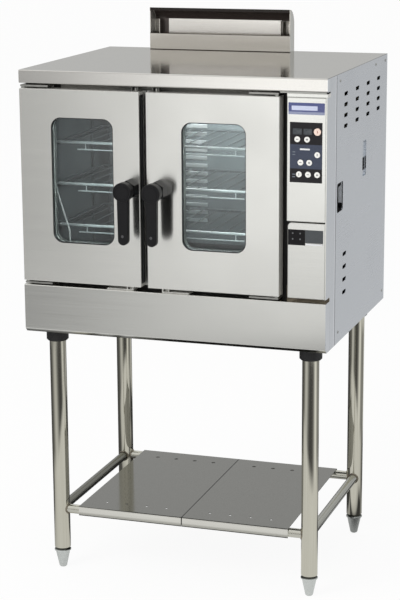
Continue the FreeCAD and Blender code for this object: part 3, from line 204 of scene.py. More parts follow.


# Legs and rails: stainless tube, polished along its length. The legs end in a flange under the
# cabinet. Four rails are welded between them to carry the shelf, and the two at the sides are
# painted darker as shade, the left one most.
polish_lines, lines_in, lines_out = effect("polish_lines", Contrast=1.0)
fine_lines = step(polish_lines, "TexNoise", Vector=lines_in["Vector"], Scale=1.0, Detail=4.0)
broad_lines = step(polish_lines, "TexNoise", Vector=lines_in["Vector"], Scale=0.11, Detail=2.0)
both = worked(polish_lines, "MULTIPLY_ADD", broad_lines.outputs["Fac"], 0.6, fine_lines.outputs["Fac"])
clear_lines = ranged(polish_lines, both, 0.0, 1.0, 0.5, 1.1)
strong = worked(polish_lines, "MULTIPLY", clear_lines, lines_in["Contrast"])
polish_lines.links.new(strong, lines_out["Mask"])


def polished(name, light, dark, rough, stretch, marks=0.4, height=0.00008, metal=1.0, **plain):
    """A metal finish with lines drawn out along one way of the piece: sheet, tube and wire."""
    coat = finish(name, Metallic=metal, **plain)
    tree = coat.node_tree
    place = object_place(tree)
    lines = mask(tree, polish_lines, step(tree, "Mapping", Vector=place, Scale=stretch).outputs["Vector"])
    smear = mask(tree, handling_marks, place, Size=4.0, Cover=marks)
    return surfaced(coat, lines, smear, light, dark, rough, scuff=0.08, relief=0.25, height=height)


LEG_RADIUS = 0.0243
leg_axes = [(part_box(foot)[0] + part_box(foot)[1]) / 2 for foot in feet]
SIDE_RUN = (leg_axes[0].y + LEG_RADIUS, leg_axes[2].y - LEG_RADIUS)
tube_steel = polished("tube_steel", tone(222, 220, 206), tone(206, 203, 188), (0.04, 0.08), (260, 260, 2.5))
rail_steel = polished("rail_steel", *shades(224, 223, 212, 20), (0.14, 0.22), (9, 9, 260))
# painted shade: the side rails painted darker than the front and rear ones, the left one most
painted(rail_steel, *shades(196, 197, 190, 20), X=(0.0, 1.0), Y=SIDE_RUN)
painted(rail_steel, *shades(138, 138, 131, 22), X=(-1.0, 0.0), Y=SIDE_RUN)
dress(tube_steel, "legs")
dress(rail_steel, "stand_rails")


# Rail welds: a bead of filler run round each rail where it meets a leg, saddle shaped like the
# joint, left rough and browned by the heat.
def begin(kind, place, turn=(0.0, 0.0, 0.0), **sizes):
    """Adds a primitive at its place, puts the place into its mesh and opens it for editing."""
    bpy.ops.object.select_all(action="DESELECT")
    getattr(bpy.ops.mesh, "primitive_" + kind + "_add")(location=place, rotation=turn, **sizes)
    bpy.ops.object.transform_apply()
    bpy.ops.object.mode_set(mode="EDIT")
    return bpy.context.object


def pick(piece, wanted, kind="FACE"):
    """Selects the corners, edges or faces of a piece whose middle passes the test."""
    bpy.ops.mesh.select_mode(type=kind)
    bpy.ops.mesh.select_all(action="DESELECT")
    bpy.ops.object.mode_set(mode="OBJECT")
    mesh = piece.data
    corners = mesh.vertices
    if kind == "VERT":
        for item in corners:
            item.select = wanted(item.co)
    elif kind == "EDGE":
        for item in mesh.edges:
            item.select = wanted((corners[item.vertices[0]].co + corners[item.vertices[1]].co) / 2)
    else:
        for item in mesh.polygons:
            item.select = wanted(item.center)
    bpy.ops.object.mode_set(mode="EDIT")


def take_all():
    """Selects all of the open piece."""
    bpy.ops.mesh.select_all(action="SELECT")


def closed():
    """Turns all faces of the open piece outwards and ends its editing."""
    take_all()
    bpy.ops.mesh.normals_make_consistent(inside=False)
    bpy.ops.object.mode_set(mode="OBJECT")


def chosen(*pieces):
    """Selects whole pieces, the first as the active one."""
    bpy.ops.object.select_all(action="DESELECT")
    for piece in pieces:
        piece.select_set(True)
    bpy.context.view_layer.objects.active = pieces[0]


def copied(piece, move=(0.0, 0.0, 0.0)):
    """A copy of a finished shape with a mesh of its own, moved to its place."""
    bpy.ops.object.mode_set(mode="OBJECT")
    chosen(piece)
    bpy.ops.object.duplicate()
    bpy.ops.transform.translate(value=move)
    bpy.ops.object.transform_apply()
    return bpy.context.object


def joined(pieces):
    """Several shapes made one piece."""
    chosen(*pieces)
    bpy.ops.object.join()
    return bpy.context.object


def fit(piece, name, body, coat, smooth=35.0):
    """Names a piece, gives it its finish and lets it ride on its body."""
    if piece.mode == "EDIT":
        closed()
    chosen(piece)
    bpy.ops.object.shade_smooth_by_angle(angle=math.radians(smooth))
    piece.name = name
    piece.data.name = name
    piece.data.materials.clear()
    piece.data.materials.append(coat)
    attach(piece, body)
    return piece


BEAD_RADIUS = 0.0148
BEAD_THICKNESS = 0.0024
BEAD_RUNS = 24
BEAD_STEP = 2 * math.pi / BEAD_RUNS
BEAD_ROUGHNESS = 0.0006
weld_metal = grained("weld_metal", tone(186, 178, 160), tone(120, 112, 104), (0.3, 0.5), 320.0, 0.0008,
                     Metallic=1.0)
rail_low, rail_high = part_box("stand_rails")
rail_level = (rail_low.z + rail_high.z) / 2
first_leg = Vector((leg_axes[0].x, leg_axes[0].y, rail_level))
bead = begin("torus", first_leg + Vector((LEG_RADIUS, 0.0, 0.0)), (0.0, math.pi / 2, 0.0),
             major_radius=BEAD_RADIUS, minor_radius=BEAD_THICKNESS, major_segments=BEAD_RUNS,
             minor_segments=8)
for quarter in range(BEAD_RUNS // 4):
    aside = BEAD_RADIUS * math.cos(BEAD_STEP * quarter)
    sink = LEG_RADIUS - math.sqrt(LEG_RADIUS ** 2 - aside ** 2)
    pick(bead, lambda spot: abs(abs(math.atan2(spot.z - first_leg.z, abs(spot.y - first_leg.y)))
                                - BEAD_STEP * quarter) < BEAD_STEP / 2, "VERT")
    bpy.ops.transform.translate(value=(-sink, 0.0, 0.0))
take_all()
bpy.ops.transform.vertex_random(offset=BEAD_ROUGHNESS, seed=4)
beads = []
for axis in leg_axes:
    inward_x = 0.0 if axis.x < 0 else math.pi
    inward_y = math.pi / 2 if axis.y < (rail_low.y + rail_high.y) / 2 else -math.pi / 2
    for heading in (inward_x, inward_y):
        run = copied(bead, (axis.x - first_leg.x, axis.y - first_leg.y, 0.0))
        bpy.ops.object.mode_set(mode="EDIT")
        take_all()
        bpy.ops.transform.rotate(value=-heading, orient_axis="Z",
                                 center_override=(axis.x, axis.y, rail_level))
        bpy.ops.object.mode_set(mode="OBJECT")
        beads.append(run)
bpy.data.objects.remove(bead)
fit(joined(beads), "rail_welds", "cabinet", weld_metal, 60.0)


# Collars: black moulded sleeves pushed up under the leg flanges, with a chamfer round the lower
# edge. They hide the joint between each leg and the base pan.
collar_black = grained("collar_black", *shades(30, 30, 32, 12), (0.4, 0.54), 900.0, 0.0003)
dress(collar_black, "leg_collars")


# Shelf: two plates of steel sheet folded down over the rails, with holes along front and back.
# The top is painted grey as shade, painted shade darkens the cut edges, the rear holes' rims, the
# seam and the fold's lower edge, and the folds stay bright.
SEAM_SHADE = 0.0017
HOLE_PITCH = 0.063
HOLE_FIRST = 0.06825
HOLE_ROW = 0.062
RIM_SHADE = (0.0055, 0.0075)
CUT_EDGE = (0.0018, 0.0014)
shelf_low, shelf_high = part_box("shelf_plates")


def hole_rims(tree, place):
    """A mask of painted shade round the rear row of holes, which run outwards from the shelf's middle."""
    parts = parts_of(tree, place)
    outward = worked(tree, "ABSOLUTE", parts["X"])
    from_first = worked(tree, "SUBTRACT", outward, HOLE_FIRST)
    across = worked(tree, "PINGPONG", from_first, HOLE_PITCH / 2)
    back = worked(tree, "SUBTRACT", parts["Y"], shelf_high.y - HOLE_ROW)
    spot = step(tree, "CombineXYZ", X=across, Y=back).outputs["Vector"]
    away = step(tree, "VectorMath", {"operation": "LENGTH"}, Vector=spot).outputs["Value"]
    row_ends = (HOLE_FIRST - HOLE_PITCH / 4, HOLE_FIRST + HOLE_PITCH * 3.25)
    in_row = within(tree, step(tree, "CombineXYZ", X=outward).outputs["Vector"], X=row_ends)
    return worked(tree, "MULTIPLY", ranged(tree, away, 1.0, 0.0, *RIM_SHADE), in_row)


def shelf_finish():
    """Bright folded sheet whose upper face is painted grey as shade, with painted shade along its edges and
    its seam.
    """
    coat = polished("shelf_sheet", *shades(240, 239, 231, 14), (0.07, 0.12), (5, 220, 220))
    tree = coat.node_tree
    colour = shader_of(coat).inputs["Base Color"]
    fold_colour = colour.links[0].from_socket
    place = object_place(tree)
    # painted shade: the upward faces are painted a mottled grey, darker than the folds
    top_mottle = mask(tree, surface_grain, place, Size=350.0)
    shaded_top = between(tree, top_mottle, tone(132, 132, 128), tone(146, 146, 142))
    # painted shade: dark rims round the rear row of holes
    top_colour = between(tree, hole_rims(tree, place), shaded_top, tone(44, 44, 42))
    facing = parts_of(tree, step(tree, "NewGeometry").outputs["True Normal"])
    on_top = ranged(tree, facing["Z"], 0.0, 1.0, 0.7, 0.9)
    # painted shade: the sheet's cut edges and the walls of its holes painted near black
    sheet_under, sheet_cut = (shelf_high.z - depth for depth in CUT_EDGE)
    in_sheet = ranged(tree, parts_of(tree, place)["Z"], 0.0, 1.0, sheet_under, sheet_cut)
    edge_colour = between(tree, in_sheet, fold_colour, tone(40, 40, 38))
    tree.links.new(between(tree, on_top, edge_colour, top_colour), colour)
    fold_end = shelf_low.z
    # painted shade: the lower part of the front fold painted darker, as on a rolled edge, and a dark line
    # along its foot
    painted(coat, *shades(196, 195, 187, 16), soft=0.003, Z=(fold_end - 0.01, fold_end + 0.009))
    painted(coat, *shades(62, 62, 58, 18), Z=(fold_end - 0.001, fold_end + 0.0024))
    # painted shade: a dark line along the seam between the two plates
    return painted(coat, *shades(52, 52, 50, 16), X=(-SEAM_SHADE, SEAM_SHADE))


dress(shelf_finish(), "shelf_plates")


# Cabinet casing: thin stainless sheet, folded at its edges and brushed. Pan, skirt, fascia and
# post are screwed and spot welded round the oven. The face frame behind the doors is blacked, and
# the pull pocket in the right side has a black moulded grip.
BRIGHT_STEEL = shades(239, 239, 234, 7)
SHADED_SIDE_GREY = shades(216, 221, 227, 6)
POCKET_SHADOW = shades(26, 26, 28, 10)
corner, top_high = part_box("top_panel")
side_low, side_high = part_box("right_side_panel")
skirt_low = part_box("front_skirt")[0]


def casing_finish(name, rough=(0.16, 0.22)):
    """Bright sheet brushed across the cabinet, as on the fascia, the skirt and the controls."""
    return polished(name, *BRIGHT_STEEL, rough, (4, 300, 300), height=0.00002)


def side_finish(name):
    """Sheet brushed from front to back, as on the sides and the back, painted greyer than the front as
    shade.
    """
    return polished(name, *SHADED_SIDE_GREY, (0.24, 0.28), (300, 4, 300), height=0.00001)


def at(across, back, up):
    """A point in millimetres from the cabinet's front left upright edge and the floor."""
    return Vector((corner.x + across / 1000, corner.y + back / 1000, up / 1000))


def reach_across(start, end):
    """Limits across the cabinet, given in millimetres from its left side."""
    return at(start, 0, 0).x, at(end, 0, 0).x


def reach_back(start, end):
    """Limits on the way back, given in millimetres from the cabinet's front."""
    return at(0, start, 0).y, at(0, end, 0).y


OUTER_FACE = (side_high.x - 0.0007, side_high.x + 0.01)
OUTER_EDGE = (side_high.x - 0.0015, side_high.x + 0.01)
FASCIA = (1.0, top_high.z)
TOP_FACE = (top_high.z - 0.0004, top_high.z + 0.01)
TOP_EDGE = (top_high.z - 0.0012, top_high.z + 0.01)
SKIRT_ROLL = (skirt_low.z - 0.01, skirt_low.z + 0.007)
LEDGE = (1.4601, 1.4712)
LEDGE_END = reach_back(-5, 30.5)
POST_FOLD = reach_back(86, 96)
casing_steel = casing_finish("casing_steel")
top_steel = casing_finish("top_steel", (0.07, 0.12))
painted(top_steel, *shades(230, 228, 223, 6), Z=FASCIA)
# painted shade: the upper face painted a little darker than the fascia
painted(top_steel, *shades(222, 221, 217, 8), Z=TOP_FACE)
# painted shade: the top's face towards the right side painted in the side's greyer tone
painted(top_steel, *SHADED_SIDE_GREY, X=OUTER_FACE)
# painted shade: a dark line along the top's right edge, on the fold into the side
painted(top_steel, *shades(120, 120, 118, 24), X=OUTER_EDGE, Z=TOP_EDGE)
skirt_steel = casing_finish("skirt_steel", (0.1, 0.16))
# painted shade: the rolled lower edge of the skirt painted darker
painted(skirt_steel, *shades(150, 150, 145, 18), soft=0.002, Z=SKIRT_ROLL)
# painted shade: the skirt's and the post's faces towards the right side painted in the side's greyer tone
painted(skirt_steel, *SHADED_SIDE_GREY, X=OUTER_FACE)
post_steel = painted(casing_finish("post_steel"), *SHADED_SIDE_GREY, X=OUTER_FACE)
painted(post_steel, *BRIGHT_STEEL, X=OUTER_FACE, Y=LEDGE_END, Z=LEDGE)
# painted highlight: a pale strip along the post's fold beside the side panel
painted(post_steel, *shades(240, 244, 250, 10), X=OUTER_FACE, Y=POST_FOLD)
pan_steel = polished("pan_steel", *shades(176, 178, 176, 26), (0.3, 0.45), (5, 160, 160), marks=0.8)

FRAME_HEAD = {"X": reach_across(108, 742), "Z": (1.452, 1.6)}
FRAME_FOOT = {"X": reach_across(775, 900), "Z": (0.7, 0.93)}
frame_black = grained("frame_black", tone(26, 25, 24), tone(14, 13, 13), (0.42, 0.6), 400.0, 0.0002,
                      marks=0.8)
painted(frame_black, *shades(176, 175, 170, 26), metal=0.2, **FRAME_HEAD)
painted(frame_black, tone(196, 184, 166), tone(170, 158, 142), metal=0.2, **FRAME_FOOT)

SIDE_FOLD = reach_back(90, 101)
SUNK = (side_low.x - 0.01, side_high.x - 0.003)
DISH_SUNK = (side_low.x - 0.01, side_high.x - 0.002)
POCKET_RUN = reach_back(110, 181)
POCKET_RISE = (1.124, 1.212)
POCKET_FRONT = reach_back(110, 146)
POCKET_FLOOR = (1.12, 1.146)
DISH_RUN = reach_back(418, 455)
DISH_RISE = (1.198, 1.236)
right_steel = side_finish("right_steel")
# painted shadow: a dark strip at the front of the side panel, in its joint with the post
painted(right_steel, *shades(128, 131, 136, 20), Y=SIDE_FOLD)
painted(right_steel, *shades(206, 210, 215, 16), metal=0.0, X=SUNK, Y=POCKET_RUN, Z=POCKET_RISE)
# painted shadow: the pocket's front edge, its floor and the dish's slit painted near black
painted(right_steel, *POCKET_SHADOW, metal=0.0, X=SUNK, Y=POCKET_FRONT, Z=POCKET_RISE)
painted(right_steel, *POCKET_SHADOW, metal=0.0, X=SUNK, Y=POCKET_RUN, Z=POCKET_FLOOR)
painted(right_steel, *POCKET_SHADOW, metal=0.0, X=DISH_SUNK, Y=DISH_RUN, Z=DISH_RISE)

grip_black = grained("grip_black", *shades(12, 12, 13, 5), (0.7, 0.85), 800.0, 0.0003,
                     Specular_IOR_Level=0.05)
dress(pan_steel, "base_pan")
dress(casing_steel, "control_panel", "lower_cover")
dress(top_steel, "top_panel")
dress(skirt_steel, "front_skirt")
dress(post_steel, "corner_post")
dress(side_finish("side_steel"), "left_side_panel", "back_panel")
dress(right_steel, "right_side_panel")
dress(grip_black, "side_grip")
dress(frame_black, "front_frame")


# Casing screws: pan heads with a small recess, plated steel. They hold the right side panel, and
# run along the upper and the lower edge of the back panel.
SIDE_SCREWS = ((566, 1494), (138, 1492), (138, 782), (690, 1494), (690, 782))
BACK_SCREW_INSET = 0.012
HEAD_RADIUS = 0.0042
HEAD_RISE = 0.0013
HEAD_LAND = 0.0012
HEAD_ROUNDING = 0.0009
RECESS_EDGE = 0.0014
RECESS_DEPTH = 0.0007
HAIR = 0.0001


def pull(*way):
    """Draws what is selected out by the way given."""
    bpy.ops.mesh.extrude_region_move(TRANSFORM_OT_translate={"value": way})


def eased(offset, turns):
    """Rounds the selected edges."""
    bpy.ops.mesh.bevel(offset=offset, segments=turns, affect="EDGES")


def disc(place, radius, corners, turn=(0.0, 0.0, 0.0)):
    """A flat round face at its place, open for editing and selected."""
    return begin("circle", place, turn, vertices=corners, radius=radius, fill_type="NGON")


def screw_head(place, turn):
    """A pan head on its axis: a disc domed by a bevel, with the recess sunk into it."""
    face = place.z + HEAD_RISE - HAIR
    head = disc(place, HEAD_RADIUS, 16)
    pull(0.0, 0.0, HEAD_RISE)
    pick(head, lambda spot: spot.z > face)
    bpy.ops.mesh.inset(thickness=HEAD_LAND, depth=0.0)
    pick(head, lambda spot: spot.z > face and (spot - place).xy.length < HEAD_LAND - HAIR)
    bpy.ops.mesh.inset(thickness=RECESS_EDGE, depth=-RECESS_DEPTH)
    pick(head, lambda spot: spot.z > face and (spot - place).xy.length > HEAD_RADIUS - HAIR, "EDGE")
    eased(HEAD_ROUNDING, 3)
    closed()
    head.matrix_world = Matrix.Translation(place) @ turn.to_matrix().to_4x4() @ Matrix.Translation(-place)
    chosen(head)
    bpy.ops.object.transform_apply()
    return head


zinc_plate = polished("zinc_plate", *shades(198, 198, 193, 38), (0.26, 0.4), (90, 90, 90), marks=0.7)
back_low, back_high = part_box("back_panel")
sideways = Vector((1.0, 0.0, 0.0)).to_track_quat("Z", "Y")
rearward = Vector((0.0, 1.0, 0.0)).to_track_quat("Z", "Y")
side_screws = [screw_head(Vector((side_high.x, at(0, back, 0).y, up / 1000)), sideways)
               for back, up in SIDE_SCREWS]
fit(joined(side_screws), "side_screws", "cabinet", zinc_plate)
back_screws = []
for share in (0.0, 0.25, 0.5, 0.75, 1.0):
    across = back_low.x + BACK_SCREW_INSET + share * (back_high.x - back_low.x - 2 * BACK_SCREW_INSET)
    for up in (back_low.z + BACK_SCREW_INSET, back_high.z - BACK_SCREW_INSET):
        back_screws.append(screw_head(Vector((across, back_high.y, up)), rearward))
fit(joined(back_screws), "back_screws", "cabinet", zinc_plate)


# Oven: a welded box of grey enamelled sheet in a blanket of mineral wool, with a woven seal
# round its mouth and a pressed plate in front of the fan.
oven_enamel = grained("oven_enamel", tone(72, 79, 80), tone(61, 67, 69), (0.3, 0.42), 260.0, 0.0002,
                      marks=0.8)
baffle_enamel = grained("baffle_enamel", tone(94, 102, 103), tone(82, 89, 91), (0.3, 0.42), 260.0, 0.0002)
mineral_wool = grained("mineral_wool", tone(214, 196, 128), tone(172, 150, 90), (0.85, 0.97), 120.0, 0.003)
seal_weave = grained("seal_weave", *shades(34, 34, 35, 16), (0.6, 0.8), 420.0, 0.0012)
dress(oven_enamel, "oven_liner")
dress(baffle_enamel, "fan_baffle")
dress(mineral_wool, "insulation")
dress(seal_weave, "door_gasket")


# Grille tongues: bright steel strips pressed out over the slots of the fan's plate, to turn the air.
# Each is a flat tongue bent forward along its upper edge, with its lower corners rounded.
TONGUE_ROWS = 15
TONGUE_PITCH = 0.024
TONGUE_WIDTH = 0.108
TONGUE_DROP = 0.013
TONGUE_ROUNDING = 0.005
TONGUE_LEAN = math.radians(28)
TONGUE_SHEET = 0.0011
TONGUE_ASIDE = 0.031
SLOT_HALF = 0.0075
FORWARD = (math.pi / 2, 0.0, 0.0)
tongue_steel = polished("tongue_steel", tone(236, 239, 239), tone(222, 226, 226), (0.3, 0.4), (6, 160, 160),
                        metal=0.1)
wheel_low, wheel_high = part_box("fan_wheel")
wheel_middle = (wheel_low + wheel_high) / 2
top_row = wheel_middle.z + (TONGUE_ROWS - 1) / 2 * TONGUE_PITCH + SLOT_HALF
hinge_line = Vector((wheel_middle.x - TONGUE_ASIDE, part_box("fan_baffle")[0].y, top_row))
tongue = begin("plane", hinge_line, FORWARD, size=1.0)
bpy.ops.transform.resize(value=(TONGUE_WIDTH, 1.0, TONGUE_DROP), center_override=hinge_line)
bpy.ops.transform.translate(value=(0.0, 0.0, -TONGUE_DROP / 2))
pick(tongue, lambda spot: spot.z < top_row - TONGUE_DROP / 2, "VERT")
bpy.ops.mesh.bevel(offset=TONGUE_ROUNDING, segments=4, affect="VERTICES")
bpy.ops.mesh.select_mode(type="FACE")
take_all()
pull(0.0, -TONGUE_SHEET, 0.0)
take_all()
bpy.ops.transform.rotate(value=-TONGUE_LEAN, orient_axis="X", center_override=hinge_line)
tongues = [copied(tongue, (0.0, 0.0, -row * TONGUE_PITCH)) for row in range(TONGUE_ROWS)]
bpy.data.objects.remove(tongue)
fit(joined(tongues), "grille_tongues", "cabinet", tongue_steel)


# Racks, guides and probe: nickel-plated wire and strip. The wire behind the bright front wires is
# painted dark as shade in the oven. The racks rest on the guides' runners, and the probe is a thin rod
# bent down the left wall.
rack_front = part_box("wire_racks")[0].y
FRONT_WIRES = (rack_front - 0.01, rack_front + 0.009)
# painted shade: the wire is dark, as in the oven's shade, and only the front wires are painted bright
plated_wire = polished("plated_wire", tone(62, 68, 69), tone(52, 57, 58), (0.4, 0.5), (7, 160, 160),
                       metal=0.1)
painted(plated_wire, *shades(214, 218, 218, 14), Y=FRONT_WIRES)
guide_strip = polished("guide_strip", *shades(150, 156, 156, 28), (0.26, 0.4), (160, 6, 160))
probe_sheath = polished("probe_sheath", *shades(248, 248, 246, 16), (0.24, 0.36), (120, 120, 6), metal=0.2)
dress(plated_wire, "wire_racks")
dress(guide_strip, "rack_guides")
dress(probe_sheath, "heat_probe")


# Fan, burner and gas line: a riveted wheel on its shaft, a painted motor behind it, cast burner
# tubes on a manifold under the floor, and a brass valve with the pipe out of the back.
wheel_steel = polished("wheel_steel", *shades(182, 184, 184, 32), (0.3, 0.45), (60, 60, 60), marks=0.8)
motor_paint = grained("motor_paint", tone(74, 80, 86), tone(54, 59, 64), (0.4, 0.55), 500.0, 0.0004)
burner_iron = grained("burner_iron", tone(92, 86, 80), tone(54, 48, 44), (0.6, 0.8), 300.0, 0.001,
                      Metallic=1.0)
valve_brass = grained("valve_brass", tone(214, 182, 112), tone(176, 140, 78), (0.24, 0.38), 220.0, 0.0002,
                      Metallic=1.0)
dress(wheel_steel, "fan_wheel")
dress(motor_paint, "fan_motor")
dress(burner_iron, "burner")
dress(valve_brass, "gas_valve")
dress(collar_black, "cable_gland")


# Flue: a hood folded from sheet on the back of the top, open to the front above a low plate. The
# duct's mouth stands behind it, painted bright as a reflection, and the inside of the hood is painted
# dark as shade.
HOOD_WALL = 0.0008
HOOD_CURVE = 1.6125
HOOD_SHADE = (tone(80, 71, 67), tone(56, 50, 47))
hood_low, hood_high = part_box("flue_hood")
hood_inside = (hood_low.x + HOOD_WALL, hood_high.x - HOOD_WALL)


def bare_outside(coat, bare):
    """Leaves the outer side of the hood's curved top as bare metal of the colour given."""
    tree = coat.node_tree
    sockets = shader_of(coat).inputs
    facing = parts_of(tree, step(tree, "NewGeometry").outputs["True Normal"])
    outward = ranged(tree, worked(tree, "ADD", facing["Y"], facing["Z"]), 0.0, 1.0, 0.1, 0.3)
    outside = worked(tree, "MULTIPLY", outward, within(tree, object_place(tree), Z=(HOOD_CURVE, 2.0)))
    for socket, level in (("Base Color", bare), ("Metallic", (1.0, 1.0, 1.0, 1.0))):
        with_shade = sockets[socket].links[0].from_socket
        tree.links.new(between(tree, outside, with_shade, level), sockets[socket])


flue_steel = polished("flue_steel", *shades(244, 240, 231, 8), (0.14, 0.22), (4, 240, 240), marks=0.6)
bare_steel = shader_of(flue_steel).inputs["Base Color"].links[0].from_socket
LOW_PLATE = {"X": reach_across(120, 640), "Y": reach_back(660, 671), "Z": (1.5, 1.65)}
HOLLOW = {"X": hood_inside, "Y": reach_back(672, 714.5), "Z": (1.514, 1.6405)}
LIP = {"X": hood_inside, "Y": reach_back(660, 715), "Z": (1.6295, 1.65)}
LEFT_CHEEK = {"X": (hood_inside[0], hood_low.x + 0.004), "Y": reach_back(672, 714), "Z": (1.5, 1.632)}
PLATE_EDGES = (1.5125, 1.562)
PLATE_RUN = reach_back(660, 672)
DUCT_MOUTH = {"X": reach_across(207, 577), "Y": reach_back(690, 698), "Z": (1.5, 1.607)}
RIGHT_FACE = {"X": (hood_inside[1], hood_high.x + 0.01), "Y": reach_back(672, 720)}
painted(flue_steel, *shades(232, 228, 219, 10), metal=0.66, **LOW_PLATE)
# painted shade: the hollow of the hood, the underside of its curved top with the lip, and lines at the low
# plate's edges are painted dark
painted(flue_steel, *HOOD_SHADE, metal=0.0, soft=0.0003, **HOLLOW)
painted(flue_steel, tone(52, 46, 43), tone(30, 27, 25), soft=0.0003, **LIP)
painted(flue_steel, *shades(170, 167, 161, 20), metal=0.0, soft=0.0003, **LEFT_CHEEK)
for level in PLATE_EDGES:
    painted(flue_steel, *HOOD_SHADE, Y=PLATE_RUN, Z=(level - 0.001, level + 0.0014))
# painted reflection: the duct's mouth painted near white
painted(flue_steel, *shades(252, 249, 243, 8), metal=0.75, **DUCT_MOUTH)
# painted shade: the hood's right outer face painted greyer, like the side panel
painted(flue_steel, *shades(208, 208, 203, 8), **RIGHT_FACE)
bare_outside(flue_steel, bare_steel)
dress(flue_steel, "flue_hood")


# Controls: a printed keypad in a brushed panel, with nine snap keys over a switch board. The keypad
# is a film in black and slate fields. Each key has a small sign on its face, grey or, on one, red.
KEY_MARKS = {"power": "bar", "upper_left": "dash", "upper_right": "cross", "timer": "bar",
             "middle_left": "dash", "middle_right": "cross", "lower_left": "bar", "lower_middle": "dash",
             "lower_right": "cross"}
KEY_WHITE = shades(240, 239, 235, 10)
KEY_PINK = (tone(240, 218, 206), tone(230, 204, 190))
PRINT_GREY = shades(78, 80, 86, 18)
PRINT_RED = (tone(150, 66, 52), tone(132, 52, 40))
MARK_LENGTH = 0.0034
MARK_WIDTH = 0.0009
for key, mark in KEY_MARKS.items():
    plastic = KEY_PINK if key == "power" else KEY_WHITE
    ink = PRINT_RED if key == "power" else PRINT_GREY
    face = grained(key + "_face", *plastic, (0.16, 0.24), 700.0, 0.0001, marks=0.2)
    key_low, key_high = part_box(key + "_key")
    middle = (key_low + key_high) / 2
    strokes = {"bar": [(MARK_WIDTH, MARK_LENGTH)], "dash": [(MARK_LENGTH, MARK_WIDTH)]}
    for wide, tall in strokes.get(mark, strokes["bar"] + strokes["dash"]):
        painted(face, *ink, soft=0.0002, X=(middle.x - wide, middle.x + wide),
                Z=(middle.z - tall, middle.z + tall))
    dress(face, key + "_key")
keypad_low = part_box("keypad_plate")[0]
SLATE_FIELD = (keypad_low.z + 0.038, keypad_low.z + 0.104)
board_green = grained("board_green", tone(40, 96, 62), tone(28, 74, 46), (0.3, 0.42), 300.0, 0.0002)
keypad_film = grained("keypad_film", *shades(36, 34, 37, 10), (0.3, 0.4), 900.0, 0.0001, marks=0.3,
                      Specular_IOR_Level=0.3)
painted(keypad_film, *shades(68, 74, 90, 10), Z=SLATE_FIELD)
dress(board_green, "switch_board")
dress(keypad_film, "keypad_plate")


# Displays and printed marks: two dark number windows without figures, a white dash between the
# fields, and small grey marks beside the keys. Thin films bonded to the keypad.
def front_face(middle, width, height, rounding, turns):
    """A flat face towards the front, its corners rounded, open for editing and selected."""
    face = begin("plane", middle, FORWARD, size=1.0)
    bpy.ops.transform.resize(value=(width, 1.0, height), center_override=middle)
    bpy.ops.mesh.bevel(offset=rounding, segments=turns, affect="VERTICES")
    bpy.ops.mesh.select_mode(type="FACE")
    take_all()
    return face


def ease_front(piece, front, offset, turns=2):
    """Bevels the edges of the open piece that lie in front of the plane given."""
    pick(piece, lambda spot: spot.y < front, "EDGE")
    eased(offset, turns)


def film(across, up, front, rounding, rise, edge=0.0002):
    """A thin plate on a front face between limits in millimetres, corners rounded, front edge eased."""
    low = Vector((at(across[0], 0, 0).x, front, up[0] / 1000))
    high = Vector((at(across[1], 0, 0).x, front, up[1] / 1000))
    middle = (low + high) / 2
    plate = front_face(middle, high.x - low.x, high.z - low.z, rounding, 4)
    pull(0.0, -rise, 0.0)
    ease_front(plate, middle.y - 0.9 * rise, edge)
    closed()
    return plate


NUMBER_WINDOWS = ((804, 829), (834, 857))
WINDOW_RISE = (1360, 1376.5)
FIELD_MARKS = (1311, 1304, 1250, 1243)
MARK_TALL = 2.4
keypad_front = keypad_low.y
display_glass = grained("display_glass", *shades(74, 78, 82, 14), (0.1, 0.18), 300.0, 0.00005, marks=0.3)
print_white = grained("print_white", tone(232, 233, 235), tone(214, 215, 218), (0.3, 0.4), 700.0, 0.00005)
print_grey = grained("print_grey", *shades(120, 128, 138, 20), (0.3, 0.4), 700.0, 0.00005)
displays = [film(across, WINDOW_RISE, keypad_front, rounding=0.0012, rise=0.0006)
            for across in NUMBER_WINDOWS]
fit(joined(displays), "number_windows", "cabinet", display_glass)
dash = film((824, 852), (1318, 1322.5), keypad_front, rounding=0.0008, rise=0.0003, edge=0.0001)
fit(dash, "white_dash", "cabinet", print_white)
marks = [film((803, 811), (up, up + MARK_TALL), keypad_front, rounding=0.0004, rise=0.0003, edge=0.0001)
         for up in FIELD_MARKS]
fit(joined(marks), "field_marks", "cabinet", print_grey)


# Nameplate place: a plain printed plate bonded to the panel's upper end, slate blue with a pale
# field and a greyer foot. It carries no name.
PALE_FIELD = {"X": reach_across(800, 872), "Z": (1.4255, 1.4375)}
PLATE_FOOT = (1.4, 1.4215)
plate_blue = grained("plate_blue", *shades(88, 94, 138, 12), (0.22, 0.32), 900.0, 0.0001, marks=0.3)
painted(plate_blue, tone(206, 211, 232), tone(190, 196, 222), **PALE_FIELD)
painted(plate_blue, *shades(150, 156, 182, 14), Z=PLATE_FOOT)
panel_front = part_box("control_panel")[0].y
nameplate = film((791, 892), (1414, 1446), panel_front, rounding=0.0015, rise=0.0006)
fit(nameplate, "plain_nameplate", "cabinet", plate_blue)


# Ledge joint: a grey strip that fills the joint between the bright ledge and the fascia, flush with
# the front. Its grey is painted shade along the top of the ledge.
JOINT_DEPTH = 0.0014
# painted shade: the strip's grey stands in for the shade along the ledge's top
joint_shade = grained("joint_shade", *shades(176, 176, 172, 16), (0.5, 0.65), 500.0, 0.0002)
joint_rise = (LEDGE[1] * 1000 - 0.1, 1474.8)
joint = film((767, 897), joint_rise, corner.y + JOINT_DEPTH, rounding=0.0004, rise=0.0008)
fit(joint, "ledge_joint", "cabinet", joint_shade)


